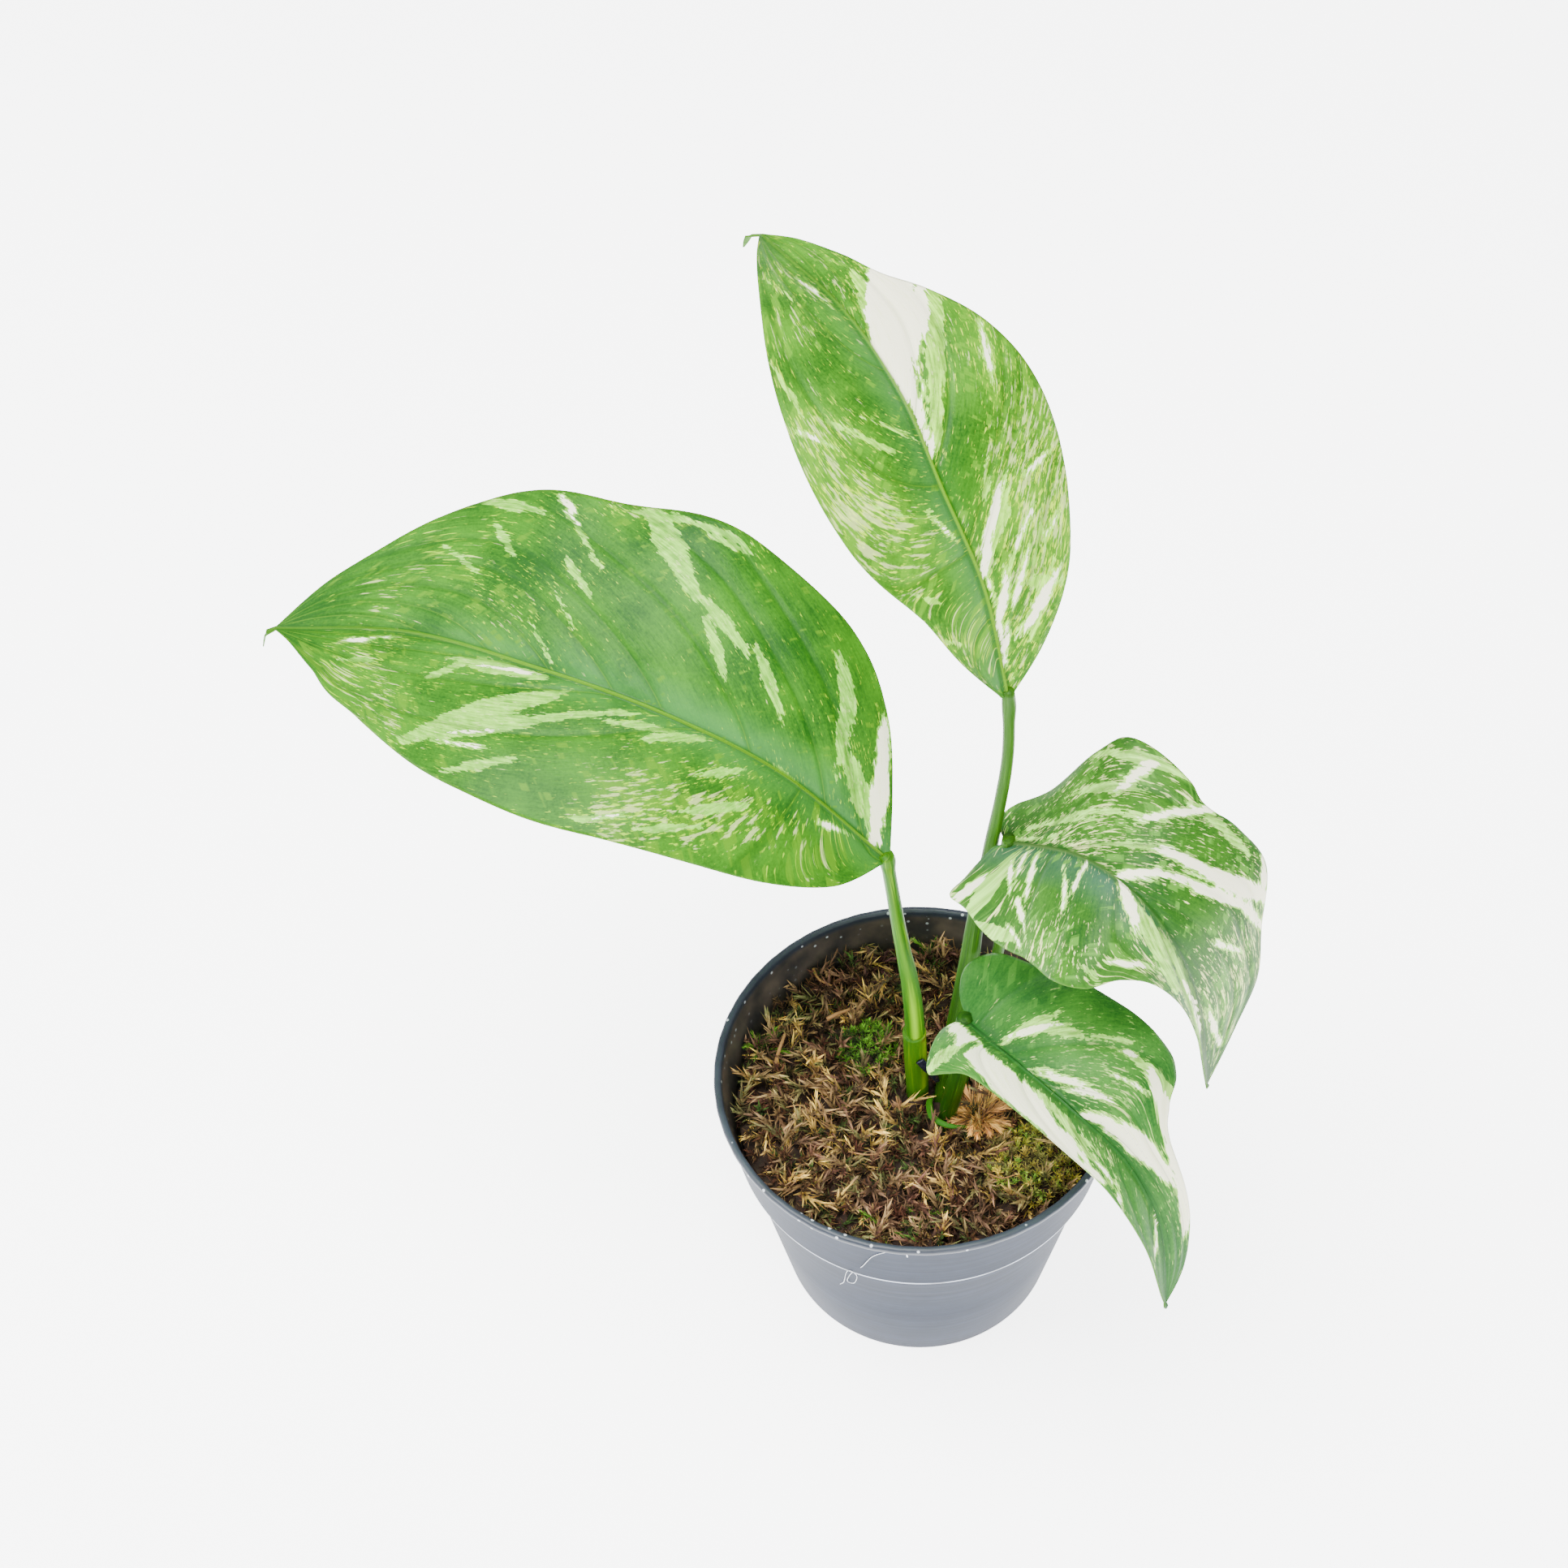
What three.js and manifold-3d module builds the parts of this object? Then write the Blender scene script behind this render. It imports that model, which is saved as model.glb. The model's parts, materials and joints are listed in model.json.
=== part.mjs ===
// A young variegated Monstera lechleriana with four leaves, in a 12 cm nursery pot.
// Millimetres, +Z up. The origin is the centre of the pot's base, on the ground.
// +X is right and -Y is towards the viewer, so the big leaf reaches left and the small ones right.
import * as THREE from 'three';
import { mergeVertices } from 'three/addons/utils/BufferGeometryUtils.js';
import Module from 'manifold-3d';

const wasm = await Module();
wasm.setup();

// Driving dimensions
const GAP = 0.3;
const HOLE_CLEARANCE = 0.35;
const POT = {
  height: 93, rimRadius: 60, footRadius: 43, wall: 1.3, floor: 3.5,
  collarHeight: 26.5, ledgeRadius: 55.5, ledgeStep: 1.9,
};
const LEDGE = POT.height - POT.collarHeight;
const DRAIN = { count: 8, radius: 3, circle: 24 };
const MOSS = { bottom: 67.9, surface: 78.5, relief: 1.5, rings: 6, spokes: 32, tufts: 86 };
const MEDIUM_TOP = MOSS.bottom - GAP;
const BLADE = { thickness: 0.8, rows: 22, ribDepth: 1.3 };
const ACROSS = [0, 0.05, 0.28, 0.52, 0.77, 1];
const VEIN = { crowding: 1.5, sweep: 1.35, quilting: 0.35 };
const AROUND_PETIOLE = 8;
const AROUND_POT = 48;
const RHIZOME_RADIUS = 5.5;
const INTERNODE_RADIUS = 3.4;
const GOLDEN_ANGLE = 2.39996;

const vec = (p) => new THREE.Vector3(...p);

// Seeded random numbers between 0 and 1
function seeded(seed) {
  let state = seed;
  return () => {
    state = (state * 1664525 + 1013904223) % 4294967296;
    return state / 4294967296;
  };
}

// A closed geometry as a solid
function solidOf(geometry) {
  const bare = geometry.clone();
  for (const name of Object.keys(bare.attributes)) {
    if (name !== 'position') bare.deleteAttribute(name);
  }
  const merged = mergeVertices(bare, 1e-4);
  return new wasm.Manifold(new wasm.Mesh({
    numProp: 3,
    vertProperties: new Float32Array(merged.attributes.position.array),
    triVerts: new Uint32Array(merged.index.array),
  }));
}

function geometryOf(solid) {
  const mesh = solid.getMesh();
  const geometry = new THREE.BufferGeometry();
  geometry.setAttribute('position', new THREE.BufferAttribute(new Float32Array(mesh.vertProperties), 3));
  geometry.setIndex(new THREE.BufferAttribute(new Uint32Array(mesh.triVerts), 1));
  return geometry;
}

// The biggest separate body of a solid, so that a cut leaves no loose scraps
function biggestBody(solid) {
  return solid.decompose().reduce((a, b) => (b.volume() > a.volume() ? b : a));
}

function indexed(points, triangles) {
  const geometry = new THREE.BufferGeometry();
  const numbers = points.flatMap((p) => p.toArray());
  geometry.setAttribute('position', new THREE.Float32BufferAttribute(numbers, 3));
  geometry.setIndex(triangles);
  return geometry;
}

// A round body from half its outline, (radius, height) pairs that start and end on the axis
function turned(profile, segments) {
  const lathe = new THREE.LatheGeometry(profile.map(([r, z]) => new THREE.Vector2(r, z)), segments);
  return lathe.rotateX(Math.PI / 2);
}

function upright(radius, bottom, top, segments) {
  const cylinder = new THREE.CylinderGeometry(radius, radius, top - bottom, segments);
  return cylinder.rotateX(Math.PI / 2).translate(0, 0, (top + bottom) / 2);
}

// A closed tube along a curve. section(u, angle) gives a point of its outline towards `facing` and
// to the side of it, and `reach` carries both ends on by that much.
function sweep(points, steps, around, facing, section, reach = 0) {
  const curve = new THREE.CatmullRomCurve3(points.map(vec), false, 'centripetal');
  const vertices = [];
  const middle = [];
  const triangles = [];
  for (let i = 0; i <= steps; i++) {
    const u = i / steps;
    const along = curve.getTangentAt(u);
    const overhang = reach * ((i === steps) - (i === 0));
    const centre = curve.getPointAt(u).addScaledVector(along, overhang);
    middle.push(centre);
    const side = along.clone().cross(vec(facing)).normalize();
    const front = side.clone().cross(along);
    for (let k = 0; k < around; k++) {
      const angle = (2 * Math.PI * k) / around;
      const [x, y] = section(u, angle);
      vertices.push(centre.clone().addScaledVector(front, x).addScaledVector(side, y));
    }
  }
  const first = vertices.push(middle[0]) - 1;
  const last = vertices.push(middle[steps]) - 1;
  for (let k = 0; k < around; k++) {
    const next = (k + 1) % around;
    for (let i = 0; i < steps; i++) {
      const [a, b] = [i * around + k, i * around + next];
      triangles.push(a, b, b + around, a, b + around, a + around);
    }
    triangles.push(first, next, k);
    triangles.push(last, steps * around + k, steps * around + next);
  }
  return indexed(vertices, triangles);
}

// Values spread evenly from base to tip, eased from one to the next
function eased(values, u) {
  const place = THREE.MathUtils.clamp(u, 0, 1) * (values.length - 1);
  const i = Math.min(Math.floor(place), values.length - 2);
  const blend = (1 - Math.cos(Math.PI * (place - i))) / 2;
  return values[i] * (1 - blend) + values[i + 1] * blend;
}

// Inner radii of the pot above and below the ledge and at its floor
const INSIDE = {
  ledge: POT.ledgeRadius - POT.wall,
  throat: POT.ledgeRadius - POT.ledgeStep - POT.wall + 0.1,
  foot: POT.footRadius - POT.wall + 0.1,
};

// Pot: thin moulded plastic. A collar steps out above the tapering body, and a lip rounds off the rim.
function pot() {
  const { height, rimRadius, ledgeRadius, ledgeStep, footRadius, floor } = POT;
  const pad = { radius: 14, recess: 1.6, ring: 34 };
  const outer = [
    [0, 0], [pad.radius, 0], [pad.radius + 1, pad.recess], [pad.ring - 1, pad.recess], [pad.ring, 0],
    [footRadius - 1, 0], [footRadius, 1], [ledgeRadius - ledgeStep, LEDGE - 0.7], [ledgeRadius, LEDGE],
    [rimRadius - 0.8, height - 2.2], [rimRadius, height - 1.7], [rimRadius, height - 0.4],
    [rimRadius - 0.4, height],
  ];
  const inner = [
    [rimRadius - 1.8, height], [rimRadius - 2.2, height - 0.4], [INSIDE.ledge, LEDGE + 1.1],
    [INSIDE.throat, LEDGE - 0.9], [INSIDE.foot, floor + 0.5], [INSIDE.foot - 1, floor], [0, floor],
  ];
  const drains = [];
  for (let k = 0; k < DRAIN.count; k++) {
    const angle = (2 * Math.PI * (k + 0.5)) / DRAIN.count;
    const hole = upright(DRAIN.radius, -1, POT.floor + 1, 10);
    drains.push(solidOf(hole.translate(DRAIN.circle * Math.cos(angle), DRAIN.circle * Math.sin(angle), 0)));
  }
  const body = solidOf(turned([...outer, ...inner], AROUND_POT));
  return drains.reduce((rest, hole) => rest.subtract(hole), body);
}

// Stems. The buried rhizome carries its roots, the upright internode with its ring-shaped leaf scar,
// and the three petioles of the side shoot.
const INTERNODE = [[-0.6, 0.4, 56], [-0.4, 1, 80], [-1, 1.6, 95.7], [-1.4, 2.2, 108.6]];
const SCAR_HEIGHT = 0.97;
const RHIZOME = [[-9, 2, 54], [-1.5, 0.4, 56], [8, -1, 56.5], [17, -2, 54.5]];
const ROOTS = [
  [[-7, 2, 54], [-20, 8, 44], [-27, 12, 28], [-29, 20, 10]],
  [[-2, 0, 54], [-8, -12, 42], [-12, -20, 26], [-8, -26, 9]],
  [[4, 0, 54], [6, 14, 44], [2, 24, 28], [8, 30, 10]],
  [[10, -1, 54], [20, -12, 44], [24, -18, 28], [18, -24, 9]],
  [[15, -2, 54], [28, 4, 44], [32, 12, 30], [30, 16, 12]],
];

function stemWithRoots(extra) {
  const fat = RHIZOME_RADIUS + extra;
  const rhizome = sweep(RHIZOME, 8, 10, [0, 0, 1], (u, angle) => {
    const taper = 1 - 0.35 * Math.abs(2 * u - 1) ** 3;
    return [fat * taper * Math.cos(angle), fat * taper * Math.sin(angle)];
  }, extra);
  const internode = sweep(INTERNODE, 9, AROUND_PETIOLE, [0, -1, 0], (u, angle) => {
    const scar = u > SCAR_HEIGHT - 0.03 ? 0.4 : 0;
    const radius = INTERNODE_RADIUS + scar + extra;
    return [radius * Math.cos(angle), radius * Math.sin(angle)];
  }, extra);
  const roots = ROOTS.map((route) => {
    const [from, to] = [route[0], route.at(-1)];
    const facing = [from[1] - to[1], to[0] - from[0], 0];
    return solidOf(sweep(route, 5, 5, facing, (u, angle) => {
      const radius = 1.9 - 0.8 * u + extra;
      return [radius * Math.cos(angle), radius * Math.sin(angle)];
    }, extra));
  });
  return wasm.Manifold.union([solidOf(rhizome), solidOf(internode), ...roots]);
}

// Petioles. Each is a little channelled on its upper face, with a thin wing of sheath low down,
// and swells at the knee below the blade.
const PETIOLES = {
  left: {
    route: [[-1.4, 2.2, 108.9], [-1.9, 2.7, 119.4], [-3, 3.3, 132], [-4.6, 4, 144.2], [-6.1, 4.6, 156.2],
      [-7.8, 5.4, 171.2], [-9.3, 6.1, 184.5]],
    radii: [3.1, 3, 2.7, 2.3, 2.1, 2, 2], facing: [-0.8, -0.3, 0.1], winged: 0.45,
  },
  upper: {
    route: [[5.8, -1.6, 56], [7.2, -2, 72], [8.9, 1.4, 89.5], [11.1, 5.3, 110], [13.8, 9.1, 133.6],
      [15.2, 11.5, 149.5], [18.4, 14.1, 177.8], [21.2, 10.4, 214.8], [20.8, 5.6, 240], [20.2, 4, 249.5]],
    radii: [2.8, 3, 3, 2.8, 2.4, 1.9, 1.6, 1.5, 1.4], facing: [-0.4, -0.9, 0], winged: 0.4,
  },
  right: {
    route: [[12.5, 2.2, 56], [12.2, 2.6, 74], [17.3, 6.4, 108], [22, 10, 139], [23.2, 11.4, 163],
      [23, 11, 186]],
    radii: [1.9, 2, 2, 1.8, 1.7, 1.7], facing: [0.9, -0.4, 0], winged: 0,
  },
  front: {
    route: [[9.6, -6.6, 56], [8.6, -8.2, 73.3], [9.1, -8.5, 86.2], [11.3, -10.5, 106.2], [12.1, -12, 122.5],
      [12.5, -13.4, 138.5]],
    radii: [2.6, 2.7, 2.8, 2.5, 2.1], facing: [0.5, -0.8, 0], winged: 0.4,
  },
};

function petiole({ route, radii, facing, winged }, extra = 0) {
  return solidOf(sweep(route, 3 * (route.length - 1), AROUND_PETIOLE, facing, (u, angle) => {
    const knee = 0.25 * Math.exp(-(((u - 0.97) / 0.03) ** 2));
    const radius = eased(radii, u) * (1 + knee);
    const channel = 0.22 * Math.max(0, Math.cos(angle)) ** 3;
    const wing = winged * (1 - u) * Math.exp(-(((Math.abs(angle - Math.PI) - 2.0) / 0.3) ** 2)) * 0.5;
    const spread = extra > 0 ? radius + winged * 0.5 + extra : radius * (1 - channel) + wing;
    return [spread * Math.cos(angle), spread * Math.sin(angle)];
  }, extra));
}

// Leaf blades. `midrib` is the rib's route from the petiole to the tip. The outline is the flattened
// blade's, as distance along the rib and distance to each side. Angles are in degrees, from base to tip:
// twist turns the blade about its rib, fold lifts a half from it and droop bends that half down again.
// A bulge lifts one half at a distance along the rib. The drip tip hangs on by its two offsets.
const LEAVES = {
  left: {
    midrib: [[-9, 6, 183], [-36, 16, 205], [-67, 26, 217], [-101, 39, 220], [-140, 58, 214],
      [-180, 67, 206]],
    right: [[0, 1.5], [10, 14], [24, 29.5], [44, 45], [73, 54], [106, 51], [130, 47], [145, 39.5],
      [164, 23], [180, 12], [193, 0.6]],
    left: [[0, -1.5], [9, -17], [26, -29], [46, -35], [78, -41], [102, -41.5], [128, -37], [162, -26],
      [176, -15], [187, -5], [193, -0.6]],
    drip: [[-3, -0.8, -1.2], [-4.5, -1.8, -5.2]],
    twist: [18, 18],
    fold: { right: [18, 18], left: [18, 18] },
    droop: { right: [22, 22], left: [22, 22] },
    halfWidth: { right: 48, left: 48 },
    waves: { height: 1.1, length: 46, phase: 3.35 },
    bulges: [],
  },
  upper: {
    midrib: [[20, 4, 248], [14, 15, 272], [4, 27, 292], [-6, 46, 305], [-21, 73, 310], [-42, 110, 304]],
    right: [[0, 1.5], [10, 12], [26, 24], [45, 32], [66, 34.5], [88, 28.5], [103, 21], [114, 14],
      [128, 10.5], [143, 6], [152, 0.6]],
    left: [[0, -1.5], [14, -12], [31, -20], [50, -28.5], [70, -31.5], [94, -26.5], [120, -16],
      [140, -7], [152, -0.6]],
    drip: [[-3.2, 0.2, -0.4], [-4.6, -0.3, -3]],
    twist: [-6, -6],
    fold: { right: [12, 12], left: [12, 12] },
    droop: { right: [22, 22, 10, 0], left: [22, 22] },
    halfWidth: { right: 33, left: 33 },
    waves: { height: 0.5, length: 38, phase: 0.3 },
    bulges: [],
  },
  right: {
    midrib: [[23, 11, 184.5], [39.5, -2, 195.5], [52.5, -16.5, 199], [63, -25, 189], [72, -25.5, 161.5],
      [78, -23, 124]],
    right: [[-4, 2], [-9, 12], [-12.5, 17.5], [-5, 20.5], [6, 27], [20, 29.5], [44, 30], [54, 26],
      [58, 17], [66, 10], [84, 5], [110, 2], [129, 0.4]],
    left: [[-2, -0.5], [-6.5, -5.5], [-3, -11], [8, -17], [17, -28.5], [22, -35], [32, -33],
      [38, -30.5], [49, -34], [66, -35], [81, -26], [97, -20], [110, -11], [129, -0.4]],
    drip: [[0.3, 0, -1.2], [0.4, 0, -2.2]],
    twist: [-20, -20],
    fold: { right: [4, 4, 20, 50], left: [6, 6] },
    droop: { right: [30, 30, 20, 0], left: [28, 28] },
    halfWidth: { right: 30, left: 36 },
    waves: { height: 0.4, length: 27, phase: 2.2 },
    bulges: [['left', 18, 13, 8], ['left', 39, 12, -6]],
  },
  front: {
    midrib: [[12.5, -13, 137], [27, -33, 145.5], [41, -46.5, 144.5], [54.5, -56, 135.5], [63, -64.5, 119],
      [66, -74.5, 97]],
    right: [[0, 2], [2, 9], [9, 17], [16, 22.5], [19, 19], [23, 15], [37, 13.5], [57, 12], [79, 9.5],
      [97, 5], [110, 0.4]],
    left: [[-1, -1], [-8, -5], [-13, -12], [-9, -19.5], [3, -23.5], [27, -29], [51, -30], [58, -26.5],
      [61, -18], [67, -12], [87, -9], [101, -7], [110, -0.4]],
    drip: [[0.2, -0.5, -1], [0.3, -0.8, -2]],
    twist: [-10, -10],
    fold: { right: [34, 34], left: [20, 20, 20, 0] },
    droop: { right: [20, 20], left: [25, 25, 60, 90] },
    halfWidth: { right: 23, left: 29 },
    waves: { height: 0.3, length: 24, phase: 0.8 },
    bulges: [],
  },
};

// Where a point of the flattened blade lies in space
function bladePlace(leaf) {
  const rib = new THREE.CatmullRomCurve3(leaf.midrib.map(vec), false, 'catmullrom', 0.5);
  rib.arcLengthDivisions = 400;
  const length = rib.getLength();
  const chord = rib.points.at(-1).clone().sub(rib.points[0]);
  const level = chord.cross(new THREE.Vector3(0, 0, 1)).normalize();
  return (a, b) => {
    const u = THREE.MathUtils.clamp(a / length, 0, 1);
    const along = rib.getTangentAt(u);
    const centre = rib.getPointAt(u).addScaledVector(along, a - u * length);
    const flat = level.clone().addScaledVector(along, -level.dot(along)).normalize();
    const up = flat.clone().cross(along);
    const twist = THREE.MathUtils.degToRad(eased(leaf.twist, u));
    const across = flat.clone().multiplyScalar(Math.cos(twist)).addScaledVector(up, Math.sin(twist));
    const lift = up.clone().multiplyScalar(Math.cos(twist)).addScaledVector(flat, -Math.sin(twist));
    const half = b > 0 ? 'right' : 'left';
    const fold = THREE.MathUtils.degToRad(eased(leaf.fold[half], u));
    const width = leaf.halfWidth[half];
    const bend = Math.max(THREE.MathUtils.degToRad(eased(leaf.droop[half], u)), 1e-4) / width;
    const end = fold - bend * Math.abs(b);
    const out = (Math.sin(fold) - Math.sin(end)) / bend;
    const rise = (Math.cos(end) - Math.cos(fold)) / bend;
    const wave = Math.sin((2 * Math.PI * a) / leaf.waves.length + leaf.waves.phase + (b > 0 ? 0 : 2));
    const bulge = leaf.bulges.reduce((sum, [side, at, spread, height]) => (
      side === half ? sum + height * Math.exp(-(((a - at) / spread) ** 2)) : sum), 0);
    const ripple = (leaf.waves.height * wave + bulge) * (b / width) ** 2;
    return centre.addScaledVector(across, Math.sign(b) * out).addScaledVector(lift, rise + ripple);
  };
}

// One half's outline as a curve from base to tip
function outline(points) {
  return new THREE.SplineCurve(points.map(([a, b]) => new THREE.Vector2(a, b)));
}

// A closed thin blade: rows follow the side veins from the rib to the edge, and both faces are
// divided alike. `grow` thickens it for cutting what lies against it.
function blade(leaf, grow = 0) {
  const place = bladePlace(leaf);
  const ribLength = leaf.right.at(-1)[0];
  const edges = { right: outline(leaf.right), left: outline(leaf.left) };
  const last = ACROSS.length - 1;
  const columns = 2 * last + 1;
  const middle = [];
  for (let i = 0; i <= BLADE.rows; i++) {
    const t = i / BLADE.rows;
    const back = i === 0 ? grow : 0;
    const foot = ribLength * t ** VEIN.crowding - back;
    const quilt = i % 3 === 0 ? -VEIN.quilting : 0.5 * VEIN.quilting;
    for (let j = -last; j <= last; j++) {
      const edge = edges[j > 0 ? 'right' : 'left'].getPointAt(t);
      const w = ACROSS[Math.abs(j)];
      const a = foot + (edge.x - back - foot) * w ** VEIN.sweep;
      const b = j === 0 ? 0 : edge.y * w;
      const raise = j === 0 || w === 1 ? 0 : quilt;
      middle.push({ point: place(a, b), raise, rib: 1 - t, onRib: j === 0 });
    }
  }
  const end = place(ribLength, 0);
  const lastRow = BLADE.rows * columns;
  for (let j = 0; j < columns; j++) {
    const point = middle[lastRow + j].point.clone().add(vec(leaf.drip[0]));
    middle.push({ point, raise: 0, rib: 0, onRib: false });
  }
  const tip = middle.push({ point: end.add(vec(leaf.drip[1])), raise: 0, rib: 0, onRib: true }) - 1;

  const face = [];
  for (let i = 0; i <= BLADE.rows; i++) {
    for (let j = 0; j < columns - 1; j++) {
      const [p, q] = [i * columns + j, i * columns + j + 1];
      face.push(p, q, q + columns, p, q + columns, p + columns);
    }
  }
  const dripRow = lastRow + columns;
  for (let j = 0; j < columns - 1; j++) face.push(dripRow + j, dripRow + j + 1, tip);

  const sheet = indexed(middle.map((m) => m.point), face);
  sheet.computeVertexNormals();
  const normals = sheet.attributes.normal;
  const offset = (k, distance) => middle[k].point.clone()
    .addScaledVector(new THREE.Vector3().fromBufferAttribute(normals, k), distance + middle[k].raise);
  const half = BLADE.thickness / 2 + grow;
  const top = middle.map((m, k) => offset(k, half));
  const under = middle.map((m, k) => offset(k, m.onRib ? -half - BLADE.ribDepth * m.rib : -half));

  const count = middle.length;
  const triangles = [...face];
  for (let k = 0; k < face.length; k += 3) {
    triangles.push(face[k] + count, face[k + 2] + count, face[k + 1] + count);
  }
  const rim = [];
  for (let j = 0; j < columns; j++) rim.push(j);
  for (let i = 1; i <= BLADE.rows + 1; i++) rim.push(i * columns + columns - 1);
  rim.push(tip);
  for (let i = BLADE.rows + 1; i > 0; i--) rim.push(i * columns);
  rim.forEach((p, k) => {
    const q = rim[(k + 1) % rim.length];
    triangles.push(p, p + count, q + count, p, q + count, q);
  });
  return solidOf(indexed([...top, ...under], triangles));
}

// The slit that opened by itself close to the left leaf's rib
function slit(leaf) {
  const place = bladePlace(leaf);
  const [at, length, width] = [[18, -4.2], 4.4, 1.3];
  const centre = place(...at);
  const along = place(at[0] + 1, at[1] + 0.4).sub(centre).normalize();
  const side = place(at[0], at[1] + 1).sub(centre).normalize();
  const through = along.clone().cross(side).normalize();
  const frame = new THREE.Matrix4().makeBasis(along, through.clone().cross(along), through);
  frame.setPosition(centre);
  const punch = upright(0.5, -6, 6, 8).scale(length, width, 1).applyMatrix4(frame);
  return solidOf(punch);
}

// Moss. The bed's surface is a sum of waves, and seeded tufts stand out of it.
function mossHeight(x, y) {
  const lumps = Math.sin(0.31 * x + 1.3) * Math.cos(0.27 * y - 0.4)
    + 0.7 * Math.sin(0.52 * y + 0.23 * x + 2.1) + 0.5 * Math.cos(0.71 * x - 0.33 * y);
  return MOSS.surface + MOSS.relief * lumps;
}

const CUSHIONS = {
  left: { centre: [-15.3, 15], size: [8, 8.5], top: 83.5, shoots: 11, seed: 11 },
  right: { centre: [33.5, -23], size: [13, 12.5], top: 83, shoots: 19, seed: 29 },
};
const CUSHION_FLOOR = MOSS.bottom + 5.7;

// A three-sided leaning tuft with a bent point, its foot sunk in what it grows from
function tuft(foot, heading, lean, length, thickness) {
  const out = new THREE.Vector3(Math.cos(heading), Math.sin(heading), 0);
  const start = foot.clone().add(new THREE.Vector3(0, 0, -2.5));
  const bend = start.clone().addScaledVector(out, length * 0.45 * Math.sin(lean));
  bend.z += 2.5 + length * 0.6 * Math.cos(lean);
  const point = bend.clone().addScaledVector(out, length * 0.5 * Math.sin(lean + 0.35));
  point.z += length * 0.4 * Math.cos(lean + 0.35);
  const ring = (centre, radius) => [0, 1, 2].map((k) => {
    const angle = heading + (2 * Math.PI * k) / 3;
    return centre.clone().add(new THREE.Vector3(radius * Math.cos(angle), radius * Math.sin(angle), 0));
  });
  const vertices = [...ring(start, thickness), ...ring(bend, thickness * 0.75), point];
  const triangles = [0, 2, 1];
  for (let k = 0; k < 3; k++) {
    const next = (k + 1) % 3;
    triangles.push(k, next, next + 3, k, next + 3, k + 3, k + 3, next + 3, 6);
  }
  return { solid: solidOf(indexed(vertices, triangles)), point };
}

function inCushion(x, y, margin) {
  return Object.values(CUSHIONS).some(({ centre, size }) => (
    ((x - centre[0]) / (size[0] + margin)) ** 2 + ((y - centre[1]) / (size[1] + margin)) ** 2 < 1));
}

// Where the stems come up through the moss: centre and the room they need
const STEM_FEET = [[-0.4, 1, 4.5], [7.8, -0.6, 4.5], [12.3, 2.8, 3.5], [8.8, -8.3, 4.5]];
const nearStem = (x, y, margin) => STEM_FEET.some(([sx, sy, r]) => Math.hypot(x - sx, y - sy) < r + margin);

function mossBed() {
  const radius = INSIDE.ledge - 0.2;
  const vertices = [new THREE.Vector3(0, 0, mossHeight(0, 0))];
  const triangles = [];
  for (let i = 1; i <= MOSS.rings; i++) {
    for (let k = 0; k < MOSS.spokes; k++) {
      const angle = (2 * Math.PI * (k + 0.5 * (i % 2))) / MOSS.spokes;
      const r = (radius * i) / MOSS.rings + (i === MOSS.rings ? 0.9 : 0);
      const [x, y] = [r * Math.cos(angle), r * Math.sin(angle)];
      vertices.push(new THREE.Vector3(x, y, mossHeight(x, y)));
    }
  }
  const at = (i, k) => 1 + (i - 1) * MOSS.spokes + (k % MOSS.spokes);
  for (let k = 0; k < MOSS.spokes; k++) triangles.push(0, at(1, k), at(1, k + 1));
  for (let i = 1; i < MOSS.rings; i++) {
    const shift = i % 2;
    for (let k = 0; k < MOSS.spokes; k++) {
      const [p, q, r, s] = [at(i, k), at(i, k + 1), at(i + 1, k + shift), at(i + 1, k + 1 + shift)];
      if (shift) triangles.push(p, r, q, q, r, s);
      else triangles.push(p, r, s, p, s, q);
    }
  }
  const skirt = vertices.length;
  for (let k = 0; k < MOSS.spokes; k++) {
    const rim = vertices[at(MOSS.rings, k)];
    const scale = (INSIDE.ledge - 0.35) / Math.hypot(rim.x, rim.y);
    vertices.push(new THREE.Vector3(rim.x * scale, rim.y * scale, MOSS.bottom));
  }
  const underside = vertices.push(new THREE.Vector3(0, 0, MOSS.bottom)) - 1;
  for (let k = 0; k < MOSS.spokes; k++) {
    const next = (k + 1) % MOSS.spokes;
    const [p, q] = [at(MOSS.rings, k), at(MOSS.rings, k + 1)];
    triangles.push(p, skirt + k, q, q, skirt + k, skirt + next, underside, skirt + next, skirt + k);
  }
  const bed = solidOf(indexed(vertices, triangles));

  const random = seeded(7);
  const tufts = [];
  const limit = INSIDE.ledge - 1.2;
  while (tufts.length < MOSS.tufts) {
    const [spread, turn] = [(limit - 1) * Math.sqrt(random()), 2 * Math.PI * random()];
    const [x, y] = [spread * Math.cos(turn), spread * Math.sin(turn)];
    const heading = 2 * Math.PI * random();
    const lean = 0.35 + 0.75 * random();
    const length = 7 + 5 * random();
    const thickness = 1.6 + 0.8 * random();
    if (nearStem(x, y, 1.5) || inCushion(x, y, 2)) continue;
    const foot = new THREE.Vector3(x, y, mossHeight(x, y));
    const { solid, point } = tuft(foot, heading, lean, length, thickness);
    const reach = Math.max(Math.hypot(point.x, point.y), Math.hypot(x, y) + thickness);
    if (reach > limit || nearStem(point.x, point.y, 1) || inCushion(point.x, point.y, 1)) continue;
    tufts.push(solid);
  }
  return wasm.Manifold.union([bed, ...tufts]);
}

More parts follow.
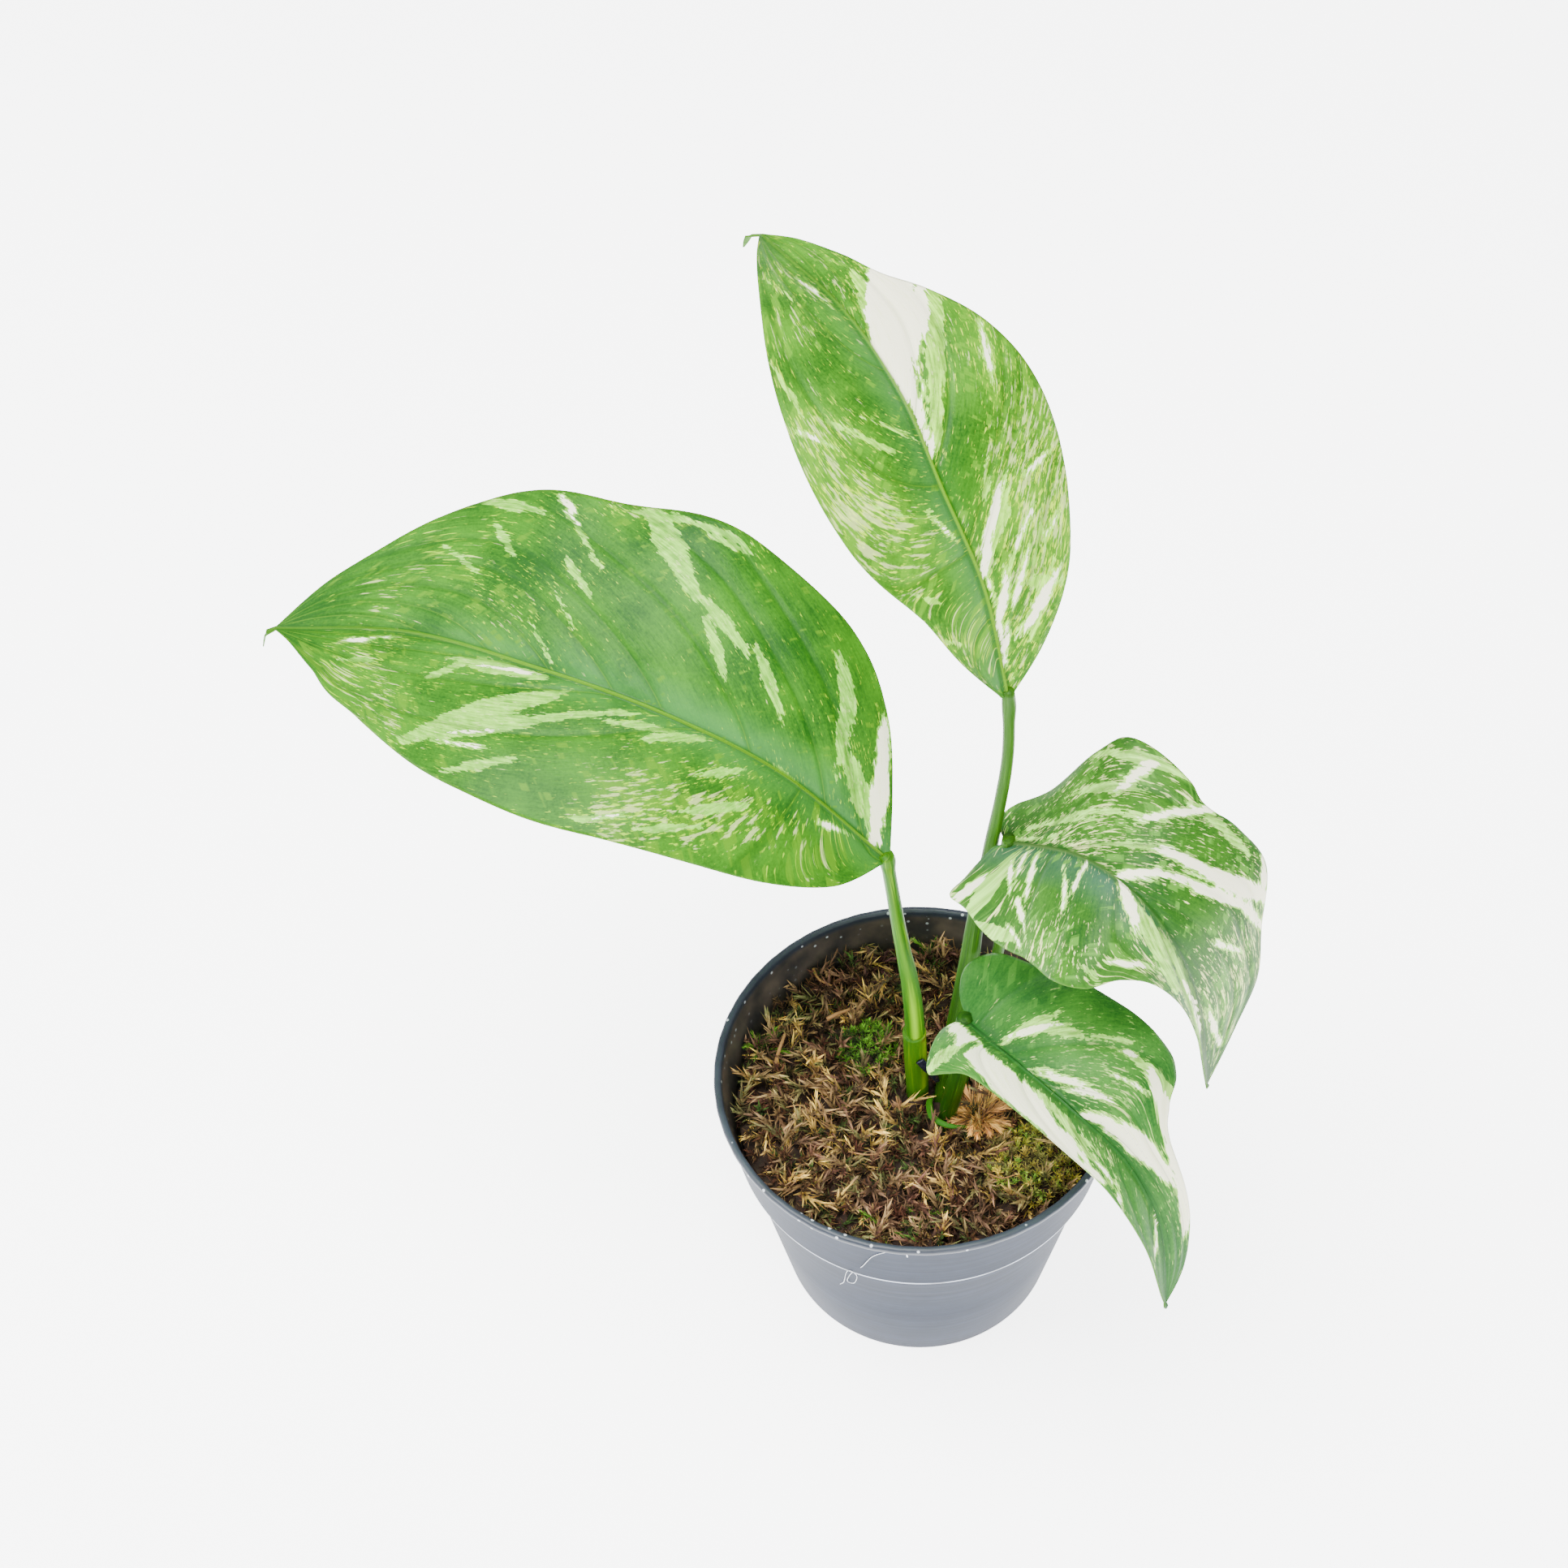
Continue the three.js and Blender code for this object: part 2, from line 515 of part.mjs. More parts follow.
function cushionBody({ centre, size, top, shoots, seed }) {
  const foot = CUSHION_FLOOR + GAP;
  const profile = [[0, foot], [0.97, foot], [1, top - 6], [0.93, top - 3], [0.66, top - 1], [0, top]];
  const dome = turned(profile, 16);
  const random = seeded(seed);
  const body = [solidOf(dome.scale(size[0], size[1], 1).translate(centre[0], centre[1], 0))];
  for (let k = 0; k < shoots; k++) {
    const spread = 0.86 * Math.sqrt((k + 0.5) / shoots);
    const turn = k * GOLDEN_ANGLE;
    const x = centre[0] + size[0] * spread * Math.cos(turn);
    const y = centre[1] + size[1] * spread * Math.sin(turn);
    const root = new THREE.Vector3(x, y, top - 1.2 - 3 * spread ** 2);
    const lean = 0.1 + 0.3 * random();
    body.push(tuft(root, turn + random(), lean, 3.8 + 1.6 * random(), 1.1).solid);
  }
  return wasm.Manifold.union(body);
}

function cushionPocket({ centre, size }) {
  const pocket = upright(1, CUSHION_FLOOR, POT.height, 16);
  return solidOf(pocket.scale(size[0] + 0.6, size[1] + 0.6, 1).translate(centre[0], centre[1], 0));
}

// Growing medium: fills the pot from its floor to the moss
function growingMedium() {
  const bottom = POT.floor + GAP;
  return solidOf(turned([
    [0, bottom], [INSIDE.foot - 1.3, bottom], [INSIDE.foot - 0.5, bottom + 0.7],
    [INSIDE.throat - 0.5, LEDGE - 0.9], [INSIDE.ledge - 0.6, MEDIUM_TOP], [0, MEDIUM_TOP],
  ], AROUND_POT));
}

// Cataphyll: the strap of an old sheath, tapering to a point along the moss.
// Tie: a short flat strip between the left stem and the middle petiole.
const STRAPS = {
  cataphyll: {
    route: [[3.6, -3.0, 81.5], [3.2, -6.2, 82.2], [4.2, -10.6, 82.2], [7.3, -13, 82], [11.1, -13.8, 81.2],
      [15, -12.6, 79.6]],
    width: [3, 3.2, 3, 2.6, 1.8, 0.8], thickness: 0.8, facing: [0, -0.55, 0.85],
  },
  tie: {
    route: [[0.3, -2.1, 100], [2.2, -2.1, 96.6], [4.3, -1.8, 92.4], [5.5, -1.4, 88.4]],
    width: [2.5, 2.6, 2.2, 1.6], thickness: 0.7, facing: [0.1, -0.9, 0.4],
  },
};

function strap({ route, width, thickness, facing }, extra = 0) {
  return solidOf(sweep(route, 7, 8, facing, (u, angle) => {
    const half = eased(width, u) / 2 + extra;
    const [c, s] = [Math.cos(angle), Math.sin(angle)];
    return [(thickness / 2 + extra) * Math.sign(c) * Math.min(1, 1.3 * Math.abs(c)), half * s];
  }, extra));
}

// Everything is set in its place, and what passes through the filling stands in plain holes
const stem = stemWithRoots(0);
const stemRoom = stemWithRoots(HOLE_CLEARANCE);
const blades = {};
const petioles = {};
for (const [name, leaf] of Object.entries(LEAVES)) {
  const body = blade(leaf);
  blades[name] = name === 'left' ? body.subtract(slit(leaf)) : body;
  const cut = petiole(PETIOLES[name]).subtract(blade(leaf, GAP)).subtract(stemRoom);
  petioles[name] = biggestBody(cut);
}
const cataphyll = strap(STRAPS.cataphyll);
const tie = strap(STRAPS.tie);
const holes = wasm.Manifold.union([
  stemRoom,
  ...Object.values(PETIOLES).map((shape) => petiole(shape, HOLE_CLEARANCE)),
  strap(STRAPS.cataphyll, HOLE_CLEARANCE),
]);
const pockets = Object.values(CUSHIONS).map(cushionPocket);
const moss = biggestBody(mossBed().subtract(wasm.Manifold.union([holes, ...pockets])));
const medium = biggestBody(growingMedium().subtract(holes));

const plant = new THREE.Group();

function add(name, solid, color, roughness) {
  const material = new THREE.MeshStandardMaterial({ color, roughness, metalness: 0 });
  const mesh = new THREE.Mesh(geometryOf(solid), material);
  mesh.name = name;
  plant.add(mesh);
}

add('pot', pot(), '#5b606c', 0.55);
add('growing_medium', medium, '#33241b', 0.95);
add('moss_bed', moss, '#7d5a38', 0.95);
for (const [side, cushion] of Object.entries(CUSHIONS)) {
  add(`moss_cushion_${side}`, cushionBody(cushion), side === 'left' ? '#4c6b1f' : '#8a8c3c', 0.9);
}
add('stem', stem, '#4f8a14', 0.5);
for (const [name, body] of Object.entries(petioles)) add(`petiole_${name}`, body, '#67a02c', 0.5);
for (const [name, body] of Object.entries(blades)) add(`leaf_${name}`, body, '#4d8b3a', 0.45);
add('cataphyll', cataphyll, '#8fbf62', 0.6);
add('tie_strip', tie, '#3a3f5c', 0.4);

export default plant;
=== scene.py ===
import json
import math

import bpy
import numpy as np
from mathutils import Matrix, Vector

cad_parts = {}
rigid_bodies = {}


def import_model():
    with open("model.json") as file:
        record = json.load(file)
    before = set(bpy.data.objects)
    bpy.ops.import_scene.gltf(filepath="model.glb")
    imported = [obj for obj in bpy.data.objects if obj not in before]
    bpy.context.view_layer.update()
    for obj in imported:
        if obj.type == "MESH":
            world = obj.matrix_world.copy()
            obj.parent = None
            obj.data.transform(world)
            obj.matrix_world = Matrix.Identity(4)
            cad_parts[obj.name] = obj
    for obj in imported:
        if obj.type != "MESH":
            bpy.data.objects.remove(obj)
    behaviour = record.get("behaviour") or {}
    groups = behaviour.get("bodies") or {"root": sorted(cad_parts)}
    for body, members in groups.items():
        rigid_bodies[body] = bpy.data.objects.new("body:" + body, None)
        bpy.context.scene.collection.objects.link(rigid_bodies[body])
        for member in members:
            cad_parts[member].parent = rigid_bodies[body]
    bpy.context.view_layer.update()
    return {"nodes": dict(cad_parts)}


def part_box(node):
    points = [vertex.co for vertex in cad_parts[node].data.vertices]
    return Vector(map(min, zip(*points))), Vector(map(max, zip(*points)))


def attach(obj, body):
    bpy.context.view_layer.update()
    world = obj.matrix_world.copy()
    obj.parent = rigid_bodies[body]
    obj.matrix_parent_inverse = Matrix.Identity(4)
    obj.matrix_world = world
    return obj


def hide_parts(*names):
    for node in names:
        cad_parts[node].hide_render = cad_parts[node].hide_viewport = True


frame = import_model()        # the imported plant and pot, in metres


# Camera. A hand-held shot from above and in front of the pot, as far as an arm's length and a half.
# Heading, pitch and roll in degrees, the place in millimetres, and the lens for a 36 mm wide sensor.
MM = 0.001
VIEW = {"place": (0, -341.2, 615.5), "heading": 5.708, "pitch": 49.097, "roll": -3.707, "lens": 48.447}

camera = bpy.data.objects.new("camera", bpy.data.cameras.new("camera"))
bpy.context.scene.collection.objects.link(camera)
bpy.context.scene.camera = camera
camera.data.sensor_width = 36
camera.data.lens = VIEW["lens"]
stance = Matrix.Translation(Vector(VIEW["place"]) * MM)
for degrees, axis in ((VIEW["heading"], "Z"), (90 - VIEW["pitch"], "X"), (VIEW["roll"], "Z")):
    stance = stance @ Matrix.Rotation(math.radians(degrees), 4, axis)
camera.matrix_world = stance


# Studio. The pot stands on a white light table, which leaves it no shadow, under a broad soft light
# overhead and two weaker ones at the front and on the left.
def colour(code):
    """An sRGB hex colour as the linear RGBA that Blender mixes."""
    parts = [int(code[i:i + 2], 16) / 255 for i in (1, 3, 5)]
    return [p / 12.92 if p <= 0.04045 else ((p + 0.055) / 1.055) ** 2.4 for p in parts] + [1.0]


def plug(tree, node, inputs):
    """Sets a node's inputs. Each takes a plain value or the output of another node."""
    for key, value in inputs.items():
        if isinstance(value, bpy.types.NodeSocket):
            tree.links.new(value, node.inputs[key])
        else:
            node.inputs[key].default_value = value


def add(tree, kind, inputs=None, out=0, **settings):
    """Adds a node with its settings and links, and gives one of its outputs."""
    made = tree.nodes.new(kind if "Node" in kind else "ShaderNode" + kind)
    for name, value in settings.items():
        setattr(made, name, value)
    plug(tree, made, inputs or {})
    return made.outputs[out] if made.outputs else None


def finish_material(name, build):
    """A new material. `build` makes its nodes and gives what goes into the shader's inputs."""
    material = bpy.data.materials.new(name)
    material.use_nodes = True
    tree = material.node_tree
    plug(tree, tree.nodes["Principled BSDF"], build(tree))
    return material


def lit_acrylic(tree):
    """The table top: opal acrylic, matt, lit evenly from below."""
    return {"Base Color": colour("#fbfbfa"), "Roughness": 0.9, "Emission Color": colour("#ffffff"),
            "Emission Strength": 4.5}


floor_mesh = bpy.data.meshes.new("light_table")
reach = 2.5
floor_mesh.from_pydata([(-reach, -reach, 0), (reach, -reach, 0), (reach, reach, 0), (-reach, reach, 0)], [],
                       [(0, 1, 2, 3)])
floor_mesh.materials.append(finish_material("opal_acrylic_lit", lit_acrylic))
floor = bpy.data.objects.new("light_table", floor_mesh)
bpy.context.scene.collection.objects.link(floor)

world = bpy.data.worlds.new("studio")
world.use_nodes = True
background = {"Color": colour("#f0f5ff"), "Strength": 0.8}
plug(world.node_tree, world.node_tree.nodes["Background"], background)
bpy.context.scene.world = world

AIM = Vector((0, 0, 0.1))
LIGHTS = {
    "overhead": {"place": (-0.35, -0.05, 1.6), "size": 1.0, "power": 56},
    "front": {"place": (0.5, -1.5, 1.0), "size": 1.0, "power": 22},
    "left": {"place": (-1.5, -0.2, 0.8), "size": 0.8, "power": 16},
}
for name, light in LIGHTS.items():
    lamp = bpy.data.objects.new(name, bpy.data.lights.new(name, "AREA"))
    bpy.context.scene.collection.objects.link(lamp)
    lamp.data.size = light["size"]
    lamp.data.energy = light["power"]
    place = Vector(light["place"])
    aimed = (AIM - place).to_track_quat("-Z", "Y").to_matrix().to_4x4()
    lamp.matrix_world = Matrix.Translation(place) @ aimed


# Nursery pot. Thin injection-moulded polypropylene in dark blue-grey, with a collar that steps out for
# nesting, a rounded lip and eight drain holes. The outside has a dusty bloom, the inside stays dark.
def make_piece(name, points, faces, materials, smooth=True):
    """A mesh object from points in millimetres, at the origin with its place in its mesh."""
    mesh = bpy.data.meshes.new(name)
    corners = [tuple(p) for p in np.asarray(points, float) * MM]
    mesh.from_pydata(corners, [], [tuple(map(int, face)) for face in faces])
    mesh.update()
    for material in materials:
        mesh.materials.append(material)
    if smooth:
        mesh.shade_smooth()
    made = bpy.data.objects.new(name, mesh)
    bpy.context.scene.collection.objects.link(made)
    return made


def settle(piece, node=None):
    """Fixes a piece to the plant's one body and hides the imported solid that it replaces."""
    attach(piece, "root")
    if node:
        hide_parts(node)


def keep_plain(piece):
    """Applies a piece's modifiers and removes them."""
    graph = bpy.context.evaluated_depsgraph_get()
    mesh = bpy.data.meshes.new_from_object(piece.evaluated_get(graph))
    piece.modifiers.clear()
    piece.data = mesh


def closed_body(rings, first, last):
    """Points and faces of a body from its rings of points and the two points that close its ends."""
    count, around = rings.shape[:2]
    here = 1 + np.arange(count * around).reshape(count, around)
    beside = np.roll(here, -1, axis=1)
    faces = [(0, b, a) for a, b in zip(here[0], beside[0])]
    faces += list(np.stack([here[:-1], beside[:-1], beside[1:], here[1:]], -1).reshape(-1, 4))
    faces += [(count * around + 1, a, b) for a, b in zip(here[-1], beside[-1])]
    return np.vstack([[first], rings.reshape(-1, 3), [last]]), faces


def turned(profile, around, wobble=lambda angle, height: 0):
    """A closed body turned about Z. The profile starts and ends on the axis."""
    angle = 2 * np.pi * np.arange(around) / around
    radius, height = np.array(profile[1:-1], float).T[..., None]
    radius = radius + wobble(angle, height)
    rings = np.stack([radius * np.cos(angle), radius * np.sin(angle), height + 0 * angle], -1)
    return closed_body(rings, (0, 0, profile[0][1]), (0, 0, profile[-1][1]))


def join(bodies):
    """Several (points, faces, ...) bodies as one, with their per-vertex numbers in a row."""
    points, faces, extras = [], [], []
    for body_points, body_faces, *numbers in bodies:
        start = sum(len(p) for p in points)
        points.append(np.asarray(body_points, float))
        faces += [tuple(i + start for i in face) for face in body_faces]
        extras.append(numbers)
    return np.vstack(points), faces, *[np.concatenate(row) for row in zip(*extras)]


pot_low, pot_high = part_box("pot")
POT = {
    "height": pot_high.z / MM, "rim": (pot_high.x - pot_low.x) / 2 / MM, "foot": 43, "wall": 1.3,
    "floor": 3.5, "ledge": 55.5, "step": 1.9, "collar": 26.5, "around": 160,
    "drains": 8, "drain_radius": 3, "drain_circle": 24,
}
LEDGE = POT["height"] - POT["collar"]
INSIDE = {"ledge": POT["ledge"] - POT["wall"], "throat": POT["ledge"] - POT["step"] - POT["wall"] + 0.1,
          "foot": POT["foot"] - POT["wall"] + 0.1}
LIP_STEPS = 6         # so many steps of the outside profile belong to the bare lip
HIGHLIGHT_STEP = 14      # the profile step, counted from the base, that is the collar's lower edge, painted pale as a highlight


def pot_profile():
    """The pot's section from the axis outside, over the lip and back inside to the axis."""
    top, rim, ledge, foot = POT["height"], POT["rim"], POT["ledge"], POT["foot"]
    pad, ring, recess = 14, 34, 1.6
    throat = ledge - POT["step"]
    outside = [
        (0, 0), (pad - 0.4, 0), (pad, 0.15), (pad + 1, recess), (ring - 1, recess), (ring, 0.15),
        (ring + 0.4, 0), (foot - 1, 0), (foot - 0.3, 0.25), (foot, 1),
        (foot + (throat - foot) * 0.5, LEDGE * 0.5), (throat - 0.06, LEDGE - 1.2),
        (throat + 0.1, LEDGE - 0.75), (ledge - 0.5, LEDGE - 0.35), (ledge - 0.05, LEDGE - 0.15),
        (ledge + 0.12, LEDGE + 0.75), (rim - 1.1, top - 3.1), (rim - 0.85, top - 2.3),
        (rim - 0.2, top - 1.95), (rim, top - 1.5), (rim, top - 0.6), (rim - 0.25, top - 0.15),
    ]
    inner_ledge, inner_throat, inner_foot = INSIDE["ledge"], INSIDE["throat"], INSIDE["foot"]
    inside = [
        (rim - 0.8, top), (rim - 1.5, top), (rim - 2, top - 0.25), (rim - 2.25, top - 1),
        (inner_ledge + 0.1, LEDGE + 1.6), (inner_ledge, LEDGE + 1), (inner_throat + 0.3, LEDGE - 0.6),
        (inner_throat, LEDGE - 1.2), (inner_foot, POT["floor"] + 0.6), (inner_foot - 0.8, POT["floor"]),
        (0, POT["floor"]),
    ]
    return outside, inside


def rim_wobble(angle, height):
    """A thin rim is never quite round, and trimming leaves small nicks."""
    share = np.maximum(0, (height - LEDGE) / POT["collar"])
    nick = np.where(height > POT["height"] - 2, 0.12 * np.sin(23 * angle + 0.6) * np.sin(57 * angle), 0)
    return share * 0.2 * np.sin(2 * angle + 0.8) - np.abs(nick)


RAMP = ("Value", "From Min", "From Max", "To Min", "To Max")


def painted(tree, base, *layers):
    """Colours laid over a base colour. Each layer is its colour and its ramps (value, low, high) or (value,
    low, high, start, end), and it covers as much as all its ramps say together."""
    skin = colour(base)
    for above, *ramps in layers:
        cover = 1.0
        for value, low, high, *ends in ramps:
            share = add(tree, "MapRange", dict(zip(RAMP, (value, low, high, *ends))))
            cover = add(tree, "Math", {0: cover, 1: share}, operation="MULTIPLY")
        above = colour(above) if isinstance(above, str) else above
        skin = add(tree, "Mix", {0: cover, 6: skin, 7: above}, out=2, data_type="RGBA")
    return skin


def dusty_polypropylene(tree):
    """Outside: dark blue-grey plastic under a film of dust, with faint level flow lines. Satin."""
    place = add(tree, "TexCoord", out="Object")
    level = add(tree, "Mapping", {"Vector": place, "Scale": (12, 12, 600)})
    lines = add(tree, "TexNoise", {"Vector": level, "Scale": 1.0, "Detail": 3.0}, "Fac")
    dust = add(tree, "TexNoise", {"Vector": place, "Scale": 90.0, "Detail": 6.0, "Roughness": 0.65}, "Fac")
    mixed = add(tree, "Math", {0: lines, 1: dust}, operation="MULTIPLY")
    bump = add(tree, "Bump", {"Height": lines, "Strength": 0.15, "Distance": 0.0003})
    return {"Base Color": painted(tree, "#19212f", ("#242d3e", (mixed, 0.12, 0.42))), "Roughness": 0.5,
            "IOR": 1.49, "Specular IOR Level": 0.06, "Normal": bump}


def bare_polypropylene(tree):
    """Lip and inside: the plastic's own near-black, bluer on the lip, with dried peat and specks of lime."""
    place = add(tree, "TexCoord", out="Object")
    height = add(tree, "SeparateXYZ", {0: place}, 2)
    grime = add(tree, "TexNoise", {"Vector": place, "Scale": 110.0, "Detail": 6.0}, "Fac")
    cells = add(tree, "TexVoronoi", {"Vector": place, "Scale": 420.0}).node.outputs
    bump = add(tree, "Bump", {"Height": grime, "Strength": 0.3, "Distance": 0.0004})
    top = POT["height"] * MM
    lip = painted(tree, "#191e27", ("#353d4a", (grime, 0, 1)))
    skin = painted(tree, "#322f2f", ("#5c5148", (grime, 0.35, 0.7)),
                   (lip, (height, top - 0.003, top - 0.0015)),
                   ("#c3c8ce", (cells["Distance"], 0.16, 0.24, 1, 0), (cells["Color"], 0.60, 0.62),
                    (height, top - 0.009, top - 0.001, 0.15, 1)))
    return {"Base Color": skin, "Roughness": 0.42, "IOR": 1.49, "Normal": bump}


def painted_highlight_polypropylene(tree):
    """The collar's lower edge, painted pale and smooth as the highlight along its rounded step."""
    place = add(tree, "TexCoord", out="Object")
    glint = add(tree, "TexNoise", {"Vector": place, "Scale": 60.0, "Detail": 4.0}, "Fac")
    skin = painted(tree, "#3a4252", ("#8d98ab", (glint, 0.35, 0.5)))
    return {"Base Color": skin, "Roughness": 0.3, "IOR": 1.49}


outside, inside = pot_profile()
pot_points, pot_faces = turned(outside + inside, POT["around"], rim_wobble)
pot = make_piece("nursery_pot", pot_points, pot_faces, [
    finish_material("polypropylene_dusty_outside", dusty_polypropylene),
    finish_material("polypropylene_bare_inside", bare_polypropylene),
    finish_material("polypropylene_painted_highlight_edge", painted_highlight_polypropylene)])
for k, face in enumerate(pot.data.polygons):
    step = k // POT["around"]
    if step >= len(outside) - LIP_STEPS:
        face.material_index = 1
    elif step == HIGHLIGHT_STEP:
        face.material_index = 2

drill_profile = [(0, -1), (POT["drain_radius"], -1), (POT["drain_radius"], 6), (0, 6)]
drill_points, drill_faces = turned(drill_profile, 24)
drills = []
for k in range(POT["drains"]):
    angle = 2 * math.pi * (k + 0.5) / POT["drains"]
    place = POT["drain_circle"] * np.array([math.cos(angle), math.sin(angle), 0])
    drills.append((drill_points + place, drill_faces))
drill = make_piece("drill", *join(drills), [], smooth=False)
cut = pot.modifiers.new("drains", "BOOLEAN")
cut.object = drill
cut.operation = "DIFFERENCE"
cut.solver = "EXACT"
keep_plain(pot)
bpy.data.objects.remove(drill)
settle(pot, "pot")


# Lint. A curled white cotton fibre and a flake of paper, as they drift about any potting bench, cling to
# the dusty outside of the pot below its lip.
def mottled(low, high, scale, detail, roughness, bump=None):
    """A finish of two colours that a noise mixes, `scale` to the metre, with a bump (strength, depth)."""
    def build(tree):
        place = add(tree, "TexCoord", out="Object")
        grain = add(tree, "TexNoise", {"Vector": place, "Scale": scale, "Detail": detail}, "Fac")
        inputs = {"Base Color": painted(tree, low, (high, (grain, 0, 1))), "Roughness": roughness}
        if bump:
            inputs["Normal"] = add(tree, "Bump", {"Height": grain, "Strength": bump[0], "Distance": bump[1]})
        return inputs
    return build


def unit(vectors):
    """Vectors at length 1."""
    return vectors / np.linalg.norm(vectors, axis=-1, keepdims=True)


def spline(points, reflected, steps=24):
    """Points along a Catmull-Rom curve through `points`, and the distance to each from the start."""
    p = np.asarray(points, float)
    first, last = (2 * p[0] - p[1], 2 * p[-1] - p[-2]) if reflected else (p[0], p[-1])
    p = np.vstack([first, p, last])
    u = np.linspace(0, 1, steps, endpoint=False)[:, None]
    spans = []
    for a, b, c, d in zip(p[:-3], p[1:-2], p[2:-1], p[3:]):
        spans.append(0.5 * (2 * b + (c - a) * u + (2 * a - 5 * b + 4 * c - d) * u ** 2
                            + (3 * b - a - 3 * c + d) * u ** 3))
    curve = np.vstack(spans + [p[-2:-1]])
    distance = np.concatenate([[0], np.cumsum(np.linalg.norm(np.diff(curve, axis=0), axis=1))])
    return curve, distance


def along(curve, distance, at):
    """Where a curve is at some distances from its start."""
    return np.stack([np.interp(at, distance, curve[:, k]) for k in range(curve.shape[1])], axis=-1)


def tube(route, rows, around, facing, outline):
    """A closed tube along a route. outline(u, angle) gives its reach towards `facing` and to the side. Also
    gives how far round it each point is, 0 to 1, and how far along it in millimetres."""
    curve, distance = spline(route, True)
    at = np.linspace(0, distance[-1], rows)
    centre = along(curve, distance, at)
    tangent = unit(np.gradient(centre, axis=0))
    side = unit(np.cross(tangent, np.asarray(facing, float)))
    front = np.cross(side, tangent)
    angle = 2 * np.pi * np.arange(around) / around
    x, y = outline((at / distance[-1])[:, None], angle[None, :])
    rings = centre[:, None] + front[:, None] * x[..., None] + side[:, None] * y[..., None]
    turn = np.tile(np.arange(around) / around, rows)
    height = np.repeat(at, around)
    return *closed_body(rings, centre[0], centre[-1]), np.pad(turn, 1), np.pad(height, 1, mode="edge")


def round_outline(start, end):
    """A round section that tapers from one radius to another."""
    def outline(u, angle):
        radius = start + (end - start) * u + 0 * angle
        return radius * np.cos(angle), radius * np.sin(angle)
    return outline


def outer_radius(height):
    """The pot's outside at a height: the wall below the ledge, the collar above it."""
    if height < LEDGE:
        return POT["foot"] + (POT["ledge"] - POT["step"] - POT["foot"]) * height / LEDGE
    return POT["ledge"] + (POT["rim"] - 1 - POT["ledge"]) * (height - LEDGE) / POT["collar"]


# Where they lie round the pot, in degrees, and how high
FIBRE = [(-97.5, 91), (-102, 85), (-105.6, 75), (-108.5, 66), (-111.3, 59.2), (-113, 51.9), (-110.5, 52.8),
         (-109, 60), (-109.5, 68.4), (-112.5, 60), (-114.5, 50), (-116.3, 46)]
FLAKE = [(-93.7, 91.2), (-92.8, 90.6), (-92.5, 88.4)]
lint_bodies = []
for trail, thick in ((FIBRE, 0.09), (FLAKE, 0.22)):
    route = [((outer_radius(z) + 0.35) * math.cos(math.radians(turn)),
              (outer_radius(z) + 0.35) * math.sin(math.radians(turn)), z) for turn, z in trail]
    lint_bodies.append(tube(route, 12 * len(trail), 6, (0.3, 0.2, 1), round_outline(thick, thick)))
points, faces, *_ = join(lint_bodies)
# Bleached cotton and paper: matt white
bleached_cotton = finish_material("bleached_cotton", mottled("#b9bec8", "#ffffff", 900, 2, 0.9))
settle(make_piece("lint", points, faces, [bleached_cotton]))


# Potting mix. Damp bark and peat that fills the pot below the moss; it shows only at the drain holes
# and in the gap along the wall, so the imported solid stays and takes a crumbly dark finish.
def damp_bark(tree):
    """Damp bark and peat: dark brown crumbs, matt."""
    place = add(tree, "TexCoord", out="Object")
    crumbs = add(tree, "TexVoronoi", {"Vector": place, "Scale": 260.0}, "Distance")
    grain = add(tree, "TexNoise", {"Vector": place, "Scale": 420.0, "Detail": 6.0}, "Fac")
    bump = add(tree, "Bump", {"Height": crumbs, "Strength": 0.8, "Distance": 0.0015})
    skin = painted(tree, "#1c120c", ("#5a3d28", (grain, 0, 1)))
    return {"Base Color": skin, "Roughness": 0.95, "Normal": bump}


medium = frame["nodes"]["growing_medium"]
medium.data.materials.clear()
medium.data.materials.append(finish_material("damp_bark_and_peat", damp_bark))


# Moss bed. Loose dried moss pressed round the stems: feathery shoots, tan to red-brown with green ones
# between them, over a dark humus that shows in the gaps.
MOSS = {"bottom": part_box("moss_bed")[0].z / MM, "surface": 78.5, "relief": 1.9,
        "radius": INSIDE["ledge"] - 0.3}
STEM_FEET = [(-0.4, 1, 4.2), (7.8, -0.6, 3.8), (12.3, 2.8, 2.8), (8.8, -8.3, 3.6)]


def moss_base():
    """The humus between the shoots: a lumpy round pad, closed below."""
    rings, around = 40, 150
    profile = [(MOSS["radius"] * i / rings, 0) for i in range(rings + 1)]
    points, faces = turned(profile + [(MOSS["radius"], MOSS["bottom"]), (0, MOSS["bottom"])], around)
    x, y = points[:1 + rings * around, 0], points[:1 + rings * around, 1]
    lumps = (np.sin(0.31 * x + 1.3) * np.cos(0.27 * y - 0.4) + 0.7 * np.sin(0.52 * y + 0.23 * x + 2.1)
             + 0.5 * np.cos(0.71 * x - 0.33 * y))
    crumbs = 0.5 * np.sin(1.7 * x + 0.9 * y) * np.sin(1.3 * y - 1.1 * x) + 0.3 * np.sin(3.1 * x - 2.3 * y)
    points[:1 + rings * around, 2] = MOSS["surface"] + MOSS["relief"] * lumps - 1.6 + crumbs
    points[0, 2] += 0.1
    # The profile runs from the top down, so the faces are turned over
    return points, [(face[0], *face[:0:-1]) for face in faces]


LEAFLET = [(0, 1, 2), (0, 3, 1), (1, 3, 2), (2, 3, 0)]
GOLDEN_ANGLE = 2.39996


